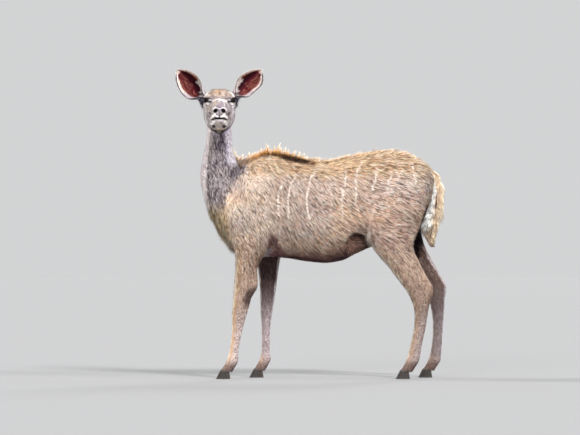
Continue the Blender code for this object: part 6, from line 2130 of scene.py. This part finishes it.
# ---------------------------------------------------------------- putting it together
def build_all():
    s = build_surface()
    s = coat_fields(s)
    p, part = s["p"], s["part"]
    front = smoothstep(-2, 2, nape_side(p))
    tone = mix(body_colour(p), face_colour(p), front)
    # painted shade: the skin under the coat is darkened, most on the body, so that gaps between the locks show dark
    under = np.where(part == 0, 0.55 + 0.35 * front + 0.30 * (1 - front) * smoothstep(50, 20, p[:, 2]), 0.85)
    white = stripe_share(p) * (1 - front) * (part == 0)
    tone = mix(tone, WHITE * 0.9, white * 0.6)
    tone = tone * under[:, None]
    ears = part > 0
    tone[ears] = ear_colour(part[ears], s["t"][ears], s["v"][ears]) * 0.8
    skin = mesh_object("skin", to_row(p), s["quads"])
    paint(skin, tone)
    skin.data.materials.append(SKIN)
    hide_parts(*[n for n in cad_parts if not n.startswith(("toe_", "eye_"))])
    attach(skin, "root")

    for side, name in ((-1, "right"), (1, "left")):
        q, f, c = eyeball(side)
        ball = mesh_object("eyeball_" + name, to_row(q), f)
        paint(ball, c)
        ball.data.materials.append(EYE_MAT)
        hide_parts("eye_" + name)
        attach(ball, "root")
        q, f, c = eyelids(side)
        lid = mesh_object("eyelids_" + name, to_row(q), f)
        paint(lid, c)
        lid.data.materials.append(LID)
        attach(lid, "root")

    for leg, toe_front, toe_back, y in TOES:
        points, faces, colours, start = [], [], [], 0
        out = math.copysign(1, y)
        parts = [claw(toe_front, toe_back, y + k * 1.45, k, ) for k in (out, -out)]
        heel = toe_back + 1.0
        parts += [dew_claw(heel + 0.2, y + k * 1.25, 10.6, k) for k in (out, -out)]
        for q, f, c in parts:
            points.append(q)
            faces.append(f + start)
            colours.append(c)
            start += len(q)
        hoof = mesh_object("hoof_" + leg, to_row(np.concatenate(points)), np.concatenate(faces))
        paint(hoof, np.concatenate(colours))
        hoof.data.materials.append(HORN)
        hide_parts("toe_%s_outer" % leg, "toe_%s_inner" % leg)
        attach(hoof, "root")

    tree = BVHTree.FromPolygons([tuple(v) for v in p[part == 0]], [tuple(t) for t in s["quads"][(part[s["quads"]] == 0).all(1)].tolist()])
    body = part == 0
    x, z = p[:, 0], p[:, 2]
    is_head = s["head"]
    fore = body & (x < 5) & (z < 62)
    hind = body & (x >= 5) & (z < 66) & ~((x > 50) & (np.abs(p[:, 1]) < 3.0))
    tail = body & (x > 52) & (np.abs(p[:, 1]) < 3.2) & (z < 112) & (z > 66)
    s["density"] = np.where(tail, 0.0, s["density"])
    legs = (fore | hind) & ~tail
    in_neck = body & ~is_head & (x < neck_edge(z)) & (z > 72)
    trunk = body & ~is_head & ~legs & ~in_neck & ~tail
    low_legs = legs & (z < 34)
    totals = {}
    totals["trunk"] = grow(s, trunk, "coat_trunk", "body_coat", "trunk", split=lambda q: (q[:, 1] > 0).astype(int) * 3 + (q[:, 0] > -18.0) + (q[:, 0] > 20.0))
    totals["neck"] = grow(s, in_neck, "coat_neck", "neck_coat", "neck", ticking_and_shade=(0.38, 0.34, 0.04, 2.3), share=0.19, by=0.35, gain=1.12, dark_root=0.46)
    totals["legs"] = grow(s, legs & ~low_legs, "coat_legs", "body_coat", "leg", (34, 68), ticking_and_shade=(0.26, 0.30, 0.20, 1.62), dark_root=0.58, gain=1.22, by=0.5, split=lambda q: (q[:, 0] > 5).astype(int), share=0.17)
    totals["feet"] = grow(s, low_legs, "coat_feet", "body_coat", "leg", (4, 34), ticking_and_shade=(0.27, 0.27, 0.30, 1.55), dark_root=0.62, gain=0.88, by=0.5, share=0.20, curl=0.7)
    totals["head"] = grow(s, is_head, "coat_head", "face", "head", ticking_and_shade=(0.25, 0.25, 0.32, 1.42), dark_root=0.6, by=0.4, share=0.15, curl=0.65, gain=0.92)
    totals["ears"] = grow(s, ~body, "coat_ears", "ear", "ear", ticking_and_shade=(0.15, 0.15, 0.65, 1.3), dark_root=0.6, curl=0.65, gain=1.0)

    # crest, tail and stripes
    q, n, way, length, width, tones = grow_crest(tree)
    crest = straight_locks(q, n, way, length, width, tones)
    place = np.stack([0.52 + 0.46 * (q[:, 0] + 48) / 48, 0.5 + q[:, 1] / 12], 1)
    coat_piece("coat_crest", [(*crest, place)], "body_coat")
    q, n, t, length, width, rise, tones = grow_back(tree)
    batch = locks(q, n, t, length, width, rise, None, None, levels=(0.0, 0.28, 0.6), tones=tones, curl=0.12)
    place = np.stack([0.1 + 0.8 * (q[:, 0] + 10) / 64, 0.98 + q[:, 1] / 400], 1)
    coat_piece("coat_back", [(*batch, place)], "body_coat")
    coat_piece("coat_tail", [grow_tail()], "tail_hair")
    coat_piece("coat_ear_fringe", ear_extras(-1) + ear_extras(1), "ear")
    coat_piece("lashes", [lashes(-1), lashes(1)], "face")
    coat_piece("coat_ear_roots", [root_tuft(-1), root_tuft(1)], "ear")
    q, n, t, length, width, rise, root, tip = grow_stripes(s, tree)
    batch = locks(q, n, t, length, width, rise, root, tip, sink=0.5)
    place = np.stack([(q[:, 0] + 40) / 100, 0.25 + 0.5 * (q[:, 1] > 0) + (q[:, 2] - 90) / 100], 1)
    coat_piece("coat_stripes", [(*batch, place)], "body_coat")
    totals["stripes"] = len(q)
    print("locks", totals)
    print("coat", sum(n for _, n in COAT_PIECES), COAT_PIECES)
    print("skin", len(s["quads"]) * 2)


build_all()


# ---------------------------------------------------------------- camera, floor and light
def aim(obj, target):
    obj.rotation_euler = (Vector(target) - obj.location).to_track_quat("-Z", "Y").to_euler()


def sun_light(name, towards, strength, degrees, colour):
    """A wide soft light from a direction, even over the whole floor."""
    data = bpy.data.lights.new(name, "SUN")
    data.energy = strength
    data.angle = math.radians(degrees)
    data.color = colour
    obj = bpy.data.objects.new(name, data)
    obj.location = towards
    bpy.context.scene.collection.objects.link(obj)
    aim(obj, (0, 0, 0))
    return obj


def set_stage():
    scene = bpy.context.scene
    data = bpy.data.cameras.new("camera")
    data.sensor_fit = "HORIZONTAL"
    data.sensor_width = 36.0
    data.lens = 172.4
    data.clip_end = 1000.0
    camera = bpy.data.objects.new("camera", data)
    scene.collection.objects.link(camera)
    camera.location = (-0.116, -14.946, 0.58)
    aim(camera, (-0.116, 0.054, 0.867))
    scene.camera = camera

    size = 250.0
    floor = mesh_object("floor", [(-size, -size, 0), (size, -size, 0), (size, size, 0), (-size, size, 0)], [[0, 1, 2, 3]], smooth=False)
    mat = bpy.data.materials.new("floor_pale")
    mat.use_nodes = True
    nodes, links = mat.node_tree.nodes, mat.node_tree.links
    shader = nodes["Principled BSDF"]
    shader.inputs["Roughness"].default_value = 1.0
    shader.inputs["Specular IOR Level"].default_value = 0.03
    grain = nodes.new("ShaderNodeTexNoise")
    grain.inputs["Scale"].default_value = 3.0
    ramp = nodes.new("ShaderNodeValToRGB")
    ramp.color_ramp.elements[0].color = (0.2594, 0.2633, 0.2691, 1)
    ramp.color_ramp.elements[1].color = (0.2656, 0.2694, 0.2753, 1)
    links.new(grain.outputs["Fac"], ramp.inputs["Fac"])
    links.new(ramp.outputs["Color"], shader.inputs["Base Color"])
    floor.data.materials.append(mat)
    floor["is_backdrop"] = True

    world = bpy.data.worlds.new("studio")
    scene.world = world
    world.use_nodes = True
    back = world.node_tree.nodes["Background"]
    back.inputs["Color"].default_value = (0.985, 0.99, 1.0, 1)
    back.inputs["Strength"].default_value = 0.66

    sun_light("key", (3.6, -7.0, 6.2), 3.6, 12, (1.0, 0.985, 0.965))
    sun_light("right", (7.0, -3.5, 3.5), 2.2, 20, (1.0, 0.985, 0.965))
    sun_light("side", (-2.5, -8.0, 2.5), 1.8, 25, (1.0, 0.985, 0.97))
    sun_light("edge", (-8.0, 1.5, 4.0), 3.0, 10, (1.0, 0.985, 0.97))
    sun_light("rim", (3.5, 7.5, 5.5), 1.2, 16, (1.0, 0.985, 0.96))
    scene.view_settings.view_transform = "Standard"
    scene.view_settings.look = "None"
    scene.view_settings.exposure = 0.0


set_stage()

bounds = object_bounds()
as_lists = lambda box: [[float(v) for v in corner] for corner in box]
{"cad_box": as_lists(CAD_BOX), "visual_box": as_lists(bounds)}
